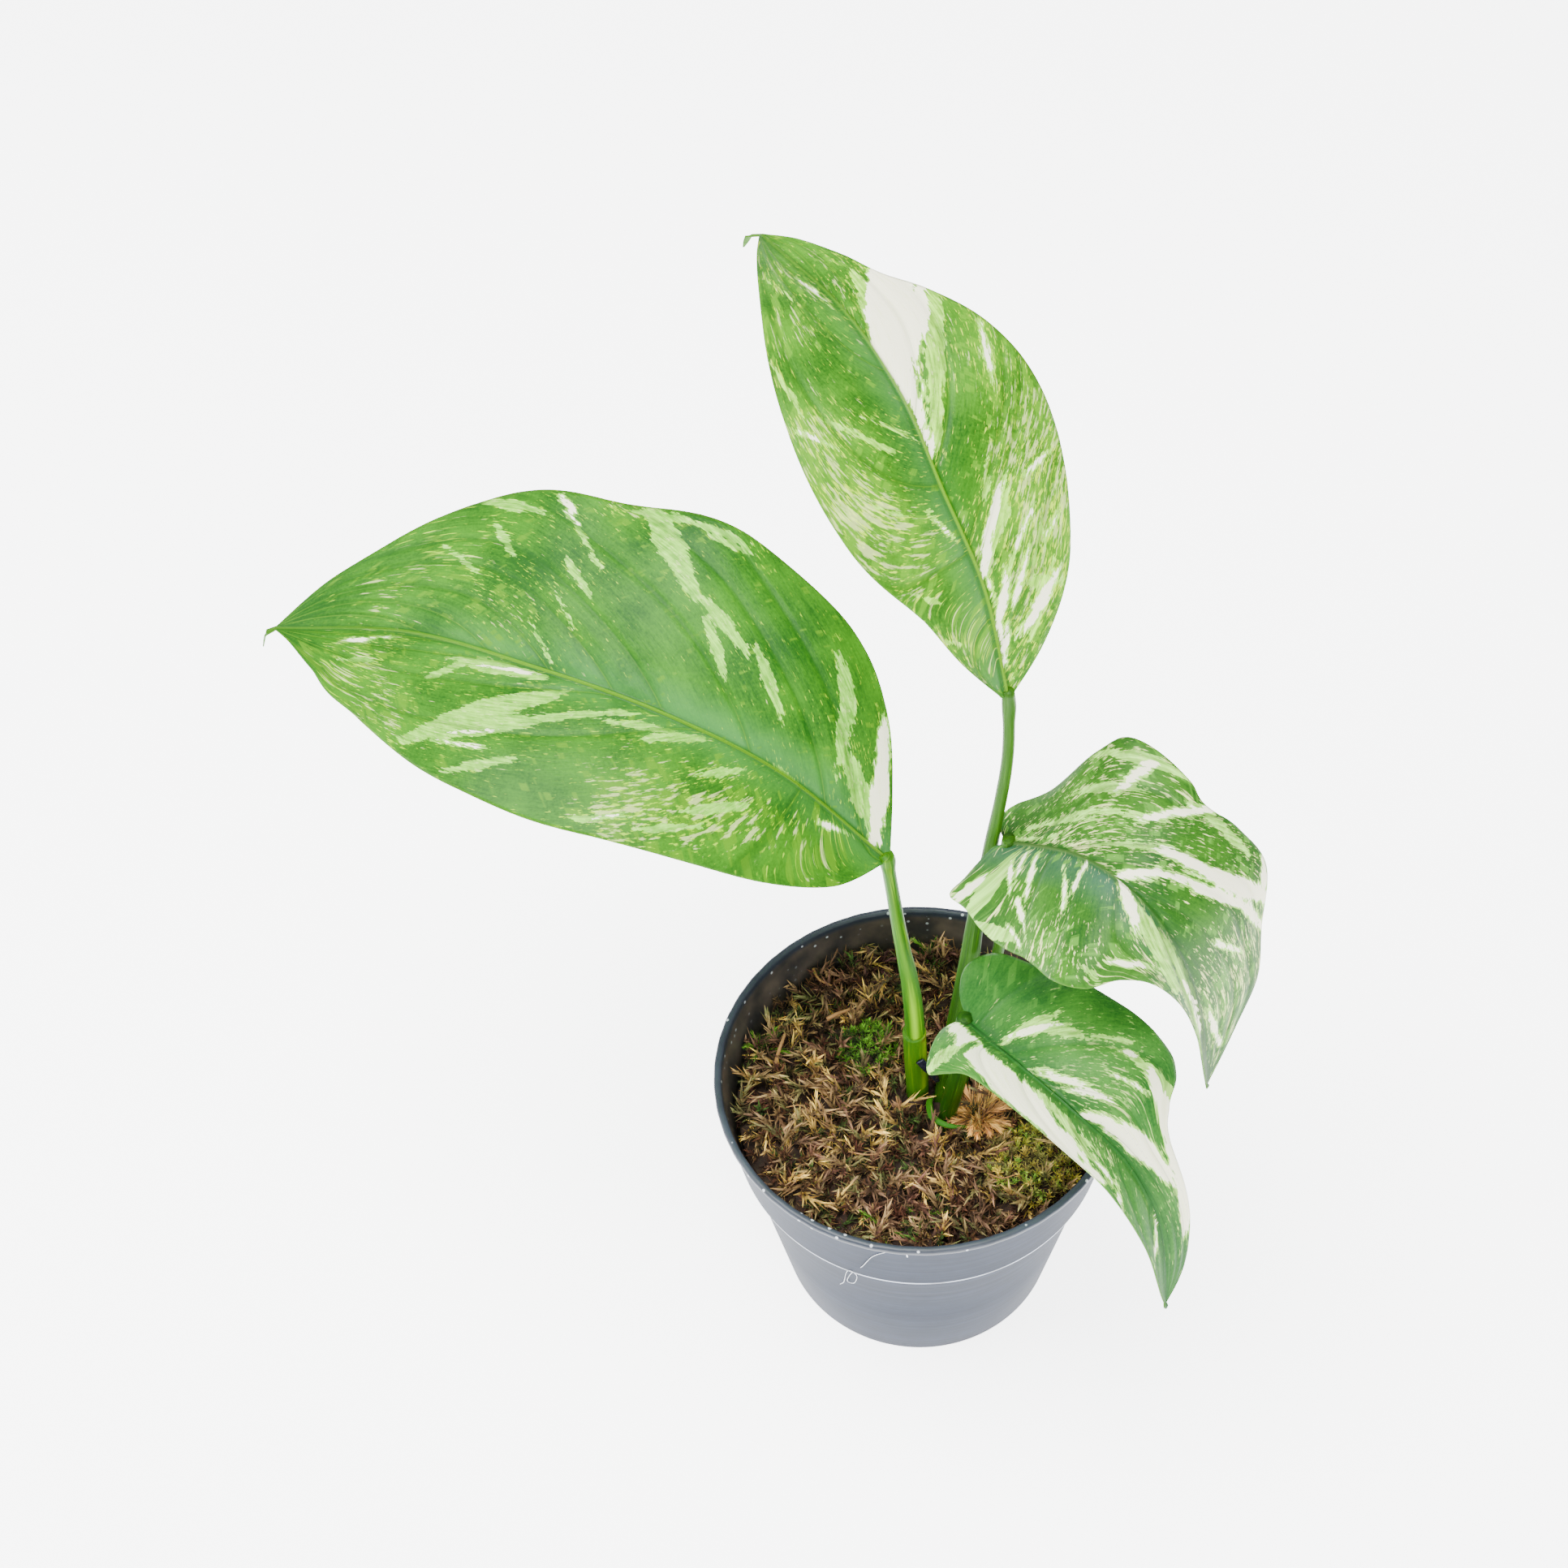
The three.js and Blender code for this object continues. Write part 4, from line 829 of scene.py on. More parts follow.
# Leaf blades. Thin waxy sheets, arched and drooping, with a raised rib, and side veins sunk between gentle
# folds. Pale and cream patches, where cells lost their green, run with the veins. Outlines and patches
# are in millimetres on the flattened blade, along the rib and to each side of it.
# `crowding` packs the rows of points towards the base and `sweep` bends them on their way to the margin.
# `twist`, `fold` and `droop` are in degrees from base to tip. A patch is its two ends and half its width. A
# cluster is a place, its spread and how much more, or less, the blade is speckled there.
BLADE = {"thickness": 0.55, "crowding": 1.5, "sweep": 1.35, "rows_per_mm": 1.3}
LEAVES = {
    "left": {
        "midrib": [(-9, 6, 183), (-36, 16, 205), (-67, 26, 217), (-101, 39, 220), (-140, 58, 214),
                   (-180, 67, 206)],
        "right": [(0, 1.5), (10, 14), (24, 29.5), (44, 45), (73, 54), (106, 51), (130, 47), (145, 39.5),
                  (164, 23), (180, 12), (193, 0.6)],
        "left": [(0, -1.5), (9, -17), (26, -29), (46, -35), (78, -41), (102, -41.5), (128, -37), (162, -26),
                 (176, -15), (187, -5), (193, -0.6)],
        "drip": [(-3, -0.8, -1.2), (-4.5, -1.8, -5.2)],
        "twist": [18], "fold": {"right": [18], "left": [18]},
        "droop": {"right": [22], "left": [22]}, "half": {"right": 48, "left": 48},
        "waves": (1.1, 46, 3.35),
        "lean": {"right": (48, 0.32, 1.1), "left": (-24, 0.83, 0.6)},
        "veins": {"right": [8, 22, 46, 71, 85, 104, 124, 146], "left": [10, 30, 60, 82, 106, 130]},
        "pale": [(139, 41, 130, 41, 1.7), (120, 45, 115, 41, 1.3), (114, 40, 103, 32, 0.5),
                 (135, 33, 129, 28, 1.0), (147, 25, 138, 21, 0.6), (111, 30, 103, 24, 1.1),
                 (110, 20, 104, 15, 0.5), (113, 10, 106, 4, 0.4), (93, 49, 81, 37, 3.6),
                 (98, 50, 85, 51, 1.3), (85, 51, 71, 51, 1.0), (77, 49, 71, 49, 1.1), (70, 30, 63, 26, 2.0),
                 (69, 25, 62, 17, 1.3), (55, 24, 46, 15, 1.3), (36, 30, 31, 23, 1.8), (32, 22, 27, 13, 1.8),
                 (25, 13, 11, 5, 2.4), (40, 1, 33, 0.5, 0.3), (132, -11, 126, -5, 1.4),
                 (126, -5, 109, -3, 2.3), (118, -22, 104, -11, 3.6), (123, -29, 105, -19, 3.2),
                 (106, -19, 80, -5, 1.2), (109, -35, 103, -31, 1.5), (79, -8, 70, -5, 1.2),
                 (69, -8, 62, -4, 1.6), (53, -11, 49, -8, 1.4), (52, -22, 42, -15, 1.4),
                 (60, -32, 52, -27, 1.0), (77, -37, 74, -36, 0.5), (166, -12, 159, -12, 0.7)],
        "cream": [(20, 22, 7, 3, 2.2), (120, 45, 117, 43, 0.8), (120, -5, 110, -3, 0.5),
                  (117, -27, 109, -23, 0.4), (117, -30, 111, -29, 0.4), (19, -4.6, 17, -3.8, 0.6),
                  (72, -35, 69, -33, 0.3), (167, -5, 156, -3, 0.2)],
        "mottled": {"right": 0.1, "left": 0.25},
        "clusters": [(67, -29, 14, 0.7), (44, -20, 12, 0.6), (20, -16, 12, 0.5), (161, -19, 16, 0.5),
                     (140, -30, 12, 0.4), (142, 25, 16, 0.35), (161, 10, 14, 0.4), (104, 49, 8, 0.5),
                     (122, 10, 12, 0.4)],
        "rib": {"height": 0.75, "end": 0.9},
        "tones": {"deep": "#174b0c", "bright": "#3d7d12", "wash": 0.12, "dash": 0.45, "flake": "#568b05",
                  "fleck": "#a7d905", "pale": ("#599b22", "#9bdf4b"), "rib": "#5a8c0a",
                  "beside": ("#468544", "#3f7d36")},
    },
    "upper": {
        "midrib": [(20, 4, 248), (14, 15, 272), (4, 27, 292), (-6, 46, 305), (-21, 73, 310), (-42, 110, 304)],
        "right": [(0, 1.5), (10, 12), (26, 24), (45, 32), (66, 34.5), (88, 28.5), (103, 21), (114, 14),
                  (128, 10.5), (143, 6), (152, 0.6)],
        "left": [(0, -1.5), (14, -12), (31, -20), (50, -28.5), (70, -31.5), (94, -26.5), (120, -16),
                 (140, -7), (152, -0.6)],
        "drip": [(-3.2, 0.2, -0.4), (-4.6, -0.3, -3)],
        "twist": [-6], "fold": {"right": [12], "left": [12]},
        "droop": {"right": [22, 22, 10, 0], "left": [22]}, "half": {"right": 33, "left": 33},
        "waves": (0.5, 38, 0.3),
        "lean": {"right": (27, 0.24, 1.0), "left": (-31, 0.86, 1.5)},
        "veins": {"right": [12, 33, 38, 57, 70, 92, 112], "left": [20, 37, 54, 85, 108]},
        "pale": [(99, 20, 71, 6, 2.2), (71, 7, 61, 2, 0.7), (113, 8, 98, 4, 2.2), (44, 13, 38, 8, 1.4),
                 (53, 12, 47, 9, 0.7), (38, 17, 34, 12, 0.8), (34, 12, 30, 7, 0.5), (37, 21, 28, 14, 0.5),
                 (35, 24, 32, 20, 0.8), (25, 11, 23, 17, 1.5), (18, 12, 13, 9, 0.8), (32, 4, 30, 2, 0.6),
                 (27, 19, 25, 17, 0.5), (73, -28, 69, -24, 0.8), (75, -22, 69, -16, 0.6),
                 (70, -17, 65, -11, 0.7), (90, -26, 80, -26, 0.7), (123, -12, 112, -11, 0.4),
                 (123, -4, 111, -3, 0.8), (71, -10, 66, -3, 0.5), (56, -21, 52, -15, 0.4),
                 (35, -18, 31, -14, 0.5), (20, -14, 18, -11, 0.4)],
        "cream": [(112, 13, 91, 3, 4.4), (105, 15, 85, 5, 4.4), (102, 18, 94, 14, 2.2), (85, 5, 71, 2, 1.8),
                  (72, 3, 63, 1, 0.9), (87, 26, 77, 23, 0.5), (46, 12, 38, 5.5, 1.0), (38, 5.5, 32, 1.8, 0.8),
                  (32, 1.8, 27, 1.6, 0.4), (37, 16, 34, 12, 0.3), (34, 23, 33, 21, 0.3), (28, 11, 24, 8, 0.6),
                  (26, 5, 20, 2, 1.0), (22, 16, 17, 10, 1.2), (19, 1.8, 9, 1.4, 0.35), (16, 3, 9, 1, 0.3),
                  (48, 23, 49, 26, 0.8), (121, -4, 112, -3, 0.3), (72, -27, 70, -25, 0.3),
                  (46, -5, 44, -4, 0.3)],
        "green": [(81, 6, 68, 3, 0.7)],
        "mottled": {"right": 0.55, "left": 0.25},
        "clusters": [(127, -8, 12, 0.4), (103, -18, 12, 0.4), (73, -26, 9, 0.6), (56, -28, 9, 0.6),
                     (55, -19, 8, 0.4), (42, -16, 12, 0.5), (16, -9, 12, 0.5), (60, 27, 16, 0.3),
                     (36, 22, 16, 0.3), (70, 11, 9, -0.4), (55, 5, 9, -0.4)],
        "rib": {"height": 0.6, "end": 0.75},
        "tones": {"deep": "#174d06", "bright": "#458413", "wash": 0.2, "dash": 0.45, "flake": "#5f9a10",
                  "fleck": "#c5e925", "pale": ("#69a325", "#aff348"), "rib": "#5c8c0a",
                  "beside": ("#1a5a0a", "#386f3a")},
    },
    "right": {
        "midrib": [(23, 11, 184.5), (39.5, -2, 195.5), (52.5, -16.5, 199), (63, -25, 189), (72, -25.5, 161.5),
                   (78, -23, 124)],
        "right": [(-4, 2), (-9, 12), (-12.5, 17.5), (-5, 20.5), (6, 27), (20, 29.5), (44, 30), (54, 26),
                  (58, 17), (66, 10), (84, 5), (110, 2), (129, 0.4)],
        "left": [(-2, -0.5), (-6.5, -5.5), (-3, -11), (8, -17), (17, -28.5), (22, -35), (32, -33),
                 (38, -30.5), (49, -34), (66, -35), (81, -26), (97, -20), (110, -11), (129, -0.4)],
        "drip": [(0.3, 0, -1.2), (0.4, 0, -2.2)],
        "twist": [-20], "fold": {"right": [4, 4, 20, 50], "left": [6]},
        "droop": {"right": [30, 30, 20, 0], "left": [28]}, "half": {"right": 30, "left": 36},
        "waves": (0.4, 27, 2.2), "bulges": [("left", 18, 13, 8), ("left", 39, 12, -6)],
        "lean": {"right": (-11, 0.65, 0.6), "left": (11, 0.68, 0.6)},
        "veins": {"right": [16, 26, 37, 50, 66, 84], "left": [4, 18, 26, 39, 54, 72, 92]},
        "pale": [(21, -29, 28, -32, 1.8), (18, -17, 26, -22, 1.2), (7, -5, 22, -10, 0.7),
                 (16, -9, 34, -18, 0.7), (3, -1, 13, -3, 0.6), (28, -5, 43, -14, 0.8),
                 (40, -29, 55, -31, 1.5), (-3, 21, 2, 10, 2.8), (2, 24, 10, 25, 1.9), (49, 3, 67, 5, 2.7),
                 (61, 2, 103, 2, 1.8), (51, 22, 55, 22, 0.9)],
        "cream": [(25, -23, 26, -29, 0.9), (34, -19, 39, -29, 1.1), (43, -14, 52, -18, 1.5),
                  (39, -2, 47, -10, 1.0), (47, -10, 68, -22, 1.2), (52, -18, 71, -28, 2.4),
                  (66, -34, 72, -30, 1.2), (72, -11, 79, -15, 0.6), (68, -22, 80, -25, 1.2),
                  (96, -3, 110, -5, 0.6), (-7, 16, -5, 14, 1.9), (5, 7, 7, 12, 0.3), (8, 3, 8, 9, 0.2),
                  (12, 5, 13, 11, 0.6), (12, 17, 16, 22, 0.6), (12, 24, 15, 26, 0.5), (29, 12, 25, 7, 0.4),
                  (28, 2, 29, 6, 0.7), (42, 1, 48, 4, 1.5), (54, 15, 57, 12, 0.7), (75, 2, 99, 1, 0.6)],
        "mottled": {"right": 0.5, "left": 0.5},
        "clusters": [(24, -3, 8, 0.3), (58, -8, 12, -0.3), (90, -14, 18, 0.3), (22, 9, 8, -0.5),
                     (36, 8, 8, -0.4), (30, 22, 10, 0.3), (60, 8, 10, 0.1)],
        "rib": {"height": 0.2, "end": 0.4},
        "tones": {"deep": "#154410", "bright": "#3a7018", "wash": 0.0, "dash": 0.85, "flake": "#5d9a30",
                  # The rib tone is a dark olive: painted shade in the sunk rib
                  "fleck": "#dcf090", "pale": ("#6aa432", "#b7f46d"), "rib": "#395923",
                  "beside": ("#395b53", "#174712")},
    },
    "front": {
        "midrib": [(12.5, -13, 137), (27, -33, 145.5), (41, -46.5, 144.5), (54.5, -56, 135.5),
                   (63, -64.5, 119), (66, -74.5, 97)],
        "right": [(0, 2), (2, 9), (9, 17), (16, 22.5), (19, 19), (23, 15), (37, 13.5), (57, 12), (79, 9.5),
                  (97, 5), (110, 0.4)],
        "left": [(-1, -1), (-8, -5), (-13, -12), (-9, -19.5), (3, -23.5), (27, -29), (51, -30), (58, -26.5),
                 (61, -18), (67, -12), (87, -9), (101, -7), (110, -0.4)],
        "drip": [(0.2, -0.5, -1), (0.3, -0.8, -2)],
        "twist": [-10], "fold": {"right": [34], "left": [20, 20, 20, 0]},
        "droop": {"right": [20], "left": [25, 25, 60, 90]}, "half": {"right": 23, "left": 29},
        "waves": (0.3, 24, 0.8),
        "lean": {"right": (16, 0.15, 2.0), "left": (-2, 0.76, 0.6)},
        "veins": {"right": [14, 28, 44, 60, 78], "left": [4, 19, 32, 46, 62, 80]},
        "pale": [(18, -5, 22, -13, 1.6), (23, -11, 31, -15, 1.6), (32, -14, 42, -22, 0.6),
                 (51, -21, 59, -21, 1.9), (15, 20, 12, 11, 2.0), (41, 5, 49, 6, 1.8), (52, 8, 58, 8, 0.8)],
        "cream": [(19, -6, 25, -13, 0.9), (32, -2, 41, -6, 0.8), (43, -5, 49, -8, 0.6), (48, -1, 56, -5, 1.2),
                  (57, -4, 68, -6, 2.8), (58, -18, 70, -11, 2.5), (70, -11, 85, -8, 1.9),
                  (44, -20, 46, -21, 0.5), (47, -14, 55, -16, 0.3), (8, 6, 18, 8, 3.2), (18, 8, 43, 10, 4.3),
                  (43, 10, 48, 10, 1.8), (56, 7, 60, 8, 0.9), (63, 7, 67, 9, 0.3), (82, 0.5, 91, 4, 0.3),
                  (49, 13, 59, 11, 0.9)],
        "green": [(15, 19, 13, 9, 2.6), (41, 5, 49, 6, 2.6), (52, 6, 60, 6, 2.0)],
        "mottled": {"right": 0.25, "left": 0.25},
        "clusters": [(36, -12, 10, 0.3), (52, -12, 8, 0.4), (0, -12, 8, 0.1), (55, 6, 8, 0.3)],
        "rib": {"height": 0.1, "end": 0.3},
        "tones": {"deep": "#1d541c", "bright": "#44802c", "wash": 0.0, "dash": 0.5, "flake": "#4c8630",
                  # The rib tone is deep green: painted shade in the sunk rib
                  "fleck": "#b4dc70", "pale": ("#70a63b", "#bef970"), "rib": "#144013",
                  "beside": ("#204b1e", "#0b3c17")},
    },
}
CREAM = ("#fdfbd9", "#e4f096")


def place_on_blade(leaf, rib, length, level, a, b):
    """Where points of the flattened blade lie in space."""
    u = np.clip(a / length, 0, 1)
    at = u * length
    tangent = unit(along(*rib, np.minimum(at + 0.3, length)) - along(*rib, np.maximum(at - 0.3, 0)))
    centre = along(*rib, at) + tangent * (a - at)[..., None]
    flat = unit(level - tangent * (tangent @ level)[..., None])
    up = np.cross(flat, tangent)
    twist = np.radians(eased(leaf["twist"], u))[..., None]
    across = flat * np.cos(twist) + up * np.sin(twist)
    lift = up * np.cos(twist) - flat * np.sin(twist)
    right = b > 0
    fold, droop = (np.radians(np.where(right, eased(leaf[key]["right"], u), eased(leaf[key]["left"], u)))
                   for key in ("fold", "droop"))
    width = np.where(right, leaf["half"]["right"], leaf["half"]["left"])
    bend = np.maximum(droop, 1e-4) / width
    end = fold - bend * np.abs(b)
    out = (np.sin(fold) - np.sin(end)) / bend
    rise = (np.cos(end) - np.cos(fold)) / bend
    height, wavelength, phase = leaf["waves"]
    wave = height * np.sin(2 * np.pi * a / wavelength + phase + np.where(right, 0, 2))
    for side, at_a, spread, amount in leaf.get("bulges", []):
        wave = wave + np.where(right == (side == "right"), amount * np.exp(-((a - at_a) / spread) ** 2), 0)
    ripple = wave * (b / width) ** 2
    return centre + across * (np.sign(b) * out)[..., None] + lift * (rise + ripple)[..., None]


def patch_field(patches, a, b):
    """Depth inside the nearest patch in millimetres, below 0 outside. A patch's ends fray, so distance
    beyond them counts a quarter."""
    field = np.full(a.shape, -9.0)
    for a0, b0, a1, b1, half in patches:
        length = math.hypot(a1 - a0, b1 - b0)
        run_a, run_b = (a1 - a0) / length, (b1 - b0) / length
        t = (a - a0) * run_a + (b - b0) * run_b
        off = np.abs((b - b0) * run_a - (a - a0) * run_b)
        beyond = np.maximum(np.maximum(-t, t - length), 0) / 4
        slim = np.clip(1 - np.minimum(t, length - t) / (0.4 * length), 0, 1) * 0.35 * half
        same_half = (b > 0) == (b0 + b1 > 0)
        field = np.maximum(field, np.where(same_half, half - slim - np.hypot(off, beyond), -9))
    return field


def side_veins(leaf, a, b, w):
    """Three numbers for each point: one that is the same all along a fine vein, how fast that number changes
    per millimetre, and the distance from the nearest side vein."""
    vein, steep, from_vein = np.zeros_like(a), np.zeros_like(a), np.zeros_like(a)
    for side in ("right", "left"):
        start, slope, power = leaf["lean"][side]
        mine = (b > 0) == (side == "right")
        own = a - (start + slope * a) * np.abs(w) ** power
        own_t, own_w, a_t, a_w, b_t, b_w = (np.gradient(v, axis=axis) for v in (own, a, b) for axis in (0, 1))
        area = a_t * b_w - a_w * b_t
        area = np.where(np.abs(area) < 1e-6, 1e-6, area)
        by_a = (own_t * b_w - own_w * b_t) / area
        by_b = (own_w * a_t - own_t * a_w) / area
        rate = np.clip(np.hypot(by_a, by_b), 1, 24)
        gap = own[..., None] - np.array(leaf["veins"][side], float)
        pick = np.argmin(np.abs(gap), axis=-1)[..., None]
        vein = np.where(mine, own, vein)
        steep = np.where(mine, rate, steep)
        from_vein = np.where(mine, np.take_along_axis(gap, pick, -1)[..., 0] / rate, from_vein)
    rib = a.shape[1] // 2
    steep[:, rib] = (steep[:, rib - 2] + steep[:, rib + 2]) / 2
    return vein, steep, from_vein


def make_blade(name, leaf, materials):
    """A closed thin blade from its outline and midrib, with the numbers that its finish reads."""
    rib = spline(leaf["midrib"], True, 120)
    chord = np.subtract(leaf["midrib"][-1], leaf["midrib"][0]).astype(float)
    level = unit(np.cross(chord, (0, 0, 1)))
    rib_length = leaf["right"][-1][0]
    rows = int(rib_length * BLADE["rows_per_mm"])
    columns = int(max(leaf["half"].values()) * BLADE["rows_per_mm"])
    t = np.linspace(0, 1, rows)[:, None]
    share = np.linspace(-1, 1, 2 * columns + 1)[None, :]
    w = np.sign(share) * np.abs(share) ** 1.25 + 0 * t
    edges = {}
    for side in ("right", "left"):
        curve, distance = spline(leaf[side], False, 60)
        edges[side] = along(curve, distance, t[:, 0] * distance[-1])[:, None, :]
    edge = np.where((w > 0)[..., None], edges["right"], edges["left"])
    foot = rib_length * t ** BLADE["crowding"]
    a = foot + (edge[..., 0] - foot) * np.abs(w) ** BLADE["sweep"]
    b = np.where(w == 0, 1e-9, edge[..., 1] * np.abs(w))
    vein, steep, from_vein = side_veins(leaf, a, b, w)

    # Side veins lie sunk between gentle folds, and the rib stands up out of a trough and has a keel below
    reach = np.clip((1 - np.abs(w)) * 5, 0, 1) * np.clip(t * 12, 0, 1) * np.clip((1 - t) * 8, 0, 1)
    fold = 0.32 * (1 - np.exp(-(from_vein / 4) ** 2)) - 0.42 * np.exp(-(from_vein / 0.7) ** 2)
    trough = -0.6 * np.exp(-(b / 1.8) ** 2)
    ridge = 0.6 + leaf["rib"]["height"] * np.clip(1.2 - 1.25 * t, 0, 1)
    relief = (fold * reach * np.clip(np.abs(b) / 3, 0, 1) + (trough + ridge * np.exp(-(b / 0.55) ** 2))
              * np.clip((1 - t) * 10, 0, 1) * np.clip(t * 20, 0.2, 1))
    keel = 1.25 * (1 - t) * np.exp(-(b / 1.3) ** 2)

    # The blade's middle surface, with a drip tip that runs on beyond its end
    middle = place_on_blade(leaf, rib, rib[1][-1], level, a, b)
    end = place_on_blade(leaf, rib, rib[1][-1], level, np.array([rib_length]), np.array([1e-9]))[0]
    first, last = np.array(leaf["drip"], float)
    tail = []
    for step, narrow in ((0.25, 1.5), (0.5, 1.8), (0.75, 1.4), (1, 0.4)):
        run_on = first * step * 2 if step < 0.5 else first + (last - first) * (step - 0.5) * 2
        tail.append(end + run_on + (middle[-1] - end) * narrow)
    middle = np.concatenate([middle, np.array(tail)])
    normal = np.cross(np.gradient(middle, axis=0), np.gradient(middle, axis=1))
    normal /= np.maximum(np.linalg.norm(normal, axis=-1, keepdims=True), 1e-12)
    if normal[rows // 3, columns, 2] < 0:
        normal = -normal
    normal[rows - 2:] = normal[rows - 3]
    pad = ((0, len(tail)), (0, 0))
    relief, keel = np.pad(relief, pad), np.pad(keel, pad)
    half = np.pad(np.ones_like(a), pad, constant_values=0.9)[..., None] * BLADE["thickness"] / 2
    top = middle + normal * (relief[..., None] + half)
    under = middle + normal * (np.minimum(relief, 0.2)[..., None] - keel[..., None] - half)

    # Upper face, underside and the edge between them
    count = middle.shape[0] * middle.shape[1]
    index = np.arange(count).reshape(middle.shape[:2])
    face = np.stack([index[:-1, :-1], index[:-1, 1:], index[1:, 1:], index[1:, :-1]], -1).reshape(-1, 4)
    sample = face[len(face) // 3]
    span = top.reshape(-1, 3)[sample]
    rim = [*index[0, :], *index[1:, -1], *index[-1, -2::-1], *index[-2:0:-1, 0]]
    if np.dot(np.cross(span[1] - span[0], span[3] - span[0]), normal.reshape(-1, 3)[sample[0]]) < 0:
        face = face[:, ::-1]
    else:
        rim = rim[::-1]
    wall = [(rim[k - 1], rim[k], rim[k] + count, rim[k - 1] + count) for k in range(len(rim))]
    faces = [tuple(f) for f in face] + [tuple(f[::-1] + count) for f in face] + wall
    blade = make_piece(name, np.vstack([top.reshape(-1, 3), under.reshape(-1, 3)]), faces, materials)
    layer = np.zeros(len(faces), int)
    layer[len(face):2 * len(face)] = 1
    blade.data.polygons.foreach_set("material_index", layer)

    mottled = np.where(b > 0, leaf["mottled"]["right"], leaf["mottled"]["left"])
    for at_a, at_b, spread, amount in leaf["clusters"]:
        near = np.exp(-((a - at_a) ** 2 + (b - at_b) ** 2) / spread ** 2)
        mottled = mottled + np.where((b > 0) == (at_b > 0), amount * near, 0)
    cream = np.minimum(patch_field(leaf["cream"], a, b), -0.2 - patch_field(leaf.get("green", []), a, b))
    numbers = {
        "vein": vein, "crowding": np.log2(steep), "run": 0.707 * (a + np.abs(b)), "from_vein": from_vein,
        "from_rib": b, "share": np.abs(w), "onward": a / rib_length, "mottled": mottled, "cream": cream,
        "pale": np.maximum(patch_field(leaf["pale"], a, b), cream + 0.5),
    }
    for key, values in numbers.items():
        store(blade, **{key: np.tile(np.pad(values, pad, mode="edge").reshape(-1), 2)})
    return blade


def weighed(tree, *terms):
    """The sum of some values, each times its weight."""
    total = 0.0
    for value, weight in terms:
        total = add(tree, "Math", {0: value, 1: weight, 2: total}, operation="MULTIPLY_ADD")
    return total


def vein_pattern():
    """A node group: noise stretched along the fine veins, `Width` by `Length` in millimetres. Where the
    veins crowd together it doubles its spacing, so the marks stay as wide. `Strips` 1 breaks it into
    strips, as the green islands between fine veins are."""
    tree = bpy.data.node_groups.new("along_the_veins", "ShaderNodeTree")
    for name in ("Width", "Length", "Seed", "Strips", "Detail"):
        tree.interface.new_socket(name, in_out="INPUT", socket_type="NodeSocketFloat")
    tree.interface.new_socket("Value", in_out="OUTPUT", socket_type="NodeSocketFloat")
    given = add(tree, "NodeGroupInput").node.outputs
    crowding, vein, run = (add(tree, "Attribute", out="Fac", attribute_name=name)
                           for name in ("crowding", "vein", "run"))
    level = add(tree, "Math", {0: crowding}, operation="FLOOR")
    part = add(tree, "Math", {0: crowding}, operation="FRACT")
    spacing = add(tree, "Math", {0: 2.0, 1: level}, operation="POWER")
    spacing = add(tree, "Math", {0: spacing, 1: given["Width"]}, operation="MULTIPLY")
    across = add(tree, "Math", {0: vein, 1: spacing}, operation="DIVIDE")
    down = add(tree, "Math", {0: run, 1: given["Length"]}, operation="DIVIDE")
    layers = []
    for step in (0, 1):
        x = weighed(tree, (across, 0.5 ** step))
        strip = add(tree, "Math", {0: x}, operation="FLOOR")
        x = add(tree, "Mix", {0: given["Strips"], 2: x, 3: weighed(tree, (strip, 3.71))})
        z = weighed(tree, (level, 7.3), (7.3, step), (given["Seed"], 1))
        spot = add(tree, "CombineXYZ", {0: x, 1: down, 2: z})
        layers.append(add(tree, "TexNoise", {"Vector": spot, "Scale": 1.0, "Detail": given["Detail"],
                                             "Roughness": 0.6}, "Fac"))
    blend = add(tree, "Mix", {0: part, 2: layers[0], 3: layers[1]})
    # Half way between two layers their blend loses contrast, and it is given back
    rest = weighed(tree, (part, -1), (1, 1))
    lost = add(tree, "Math", {0: part, 1: rest}, operation="MULTIPLY")
    restore = weighed(tree, (lost, 1.6), (1, 1))
    value = weighed(tree, (weighed(tree, (blend, 1), (-0.5, 1)), restore), (0.5, 1))
    add(tree, "NodeGroupOutput", {"Value": value})
    return tree


VEIN_PATTERN = vein_pattern()
MARKS = {
    "streak": {"Width": 0.55, "Length": 7, "Seed": 1, "Detail": 4},
    "fine": {"Width": 0.22, "Length": 1.1, "Seed": 63, "Detail": 3},
    "torn": {"Width": 1.6, "Length": 4, "Seed": 21, "Detail": 3, "Strips": 1},
    "thin": {"Width": 0.45, "Length": 2.6, "Seed": 47, "Detail": 2},
    "dash": {"Width": 0.8, "Length": 6, "Seed": 31, "Detail": 4},
    "jag": {"Width": 1.1, "Length": 7, "Seed": 5, "Detail": 2, "Strips": 1},
    "frill": {"Width": 0.5, "Length": 2, "Seed": 9, "Detail": 3},
}


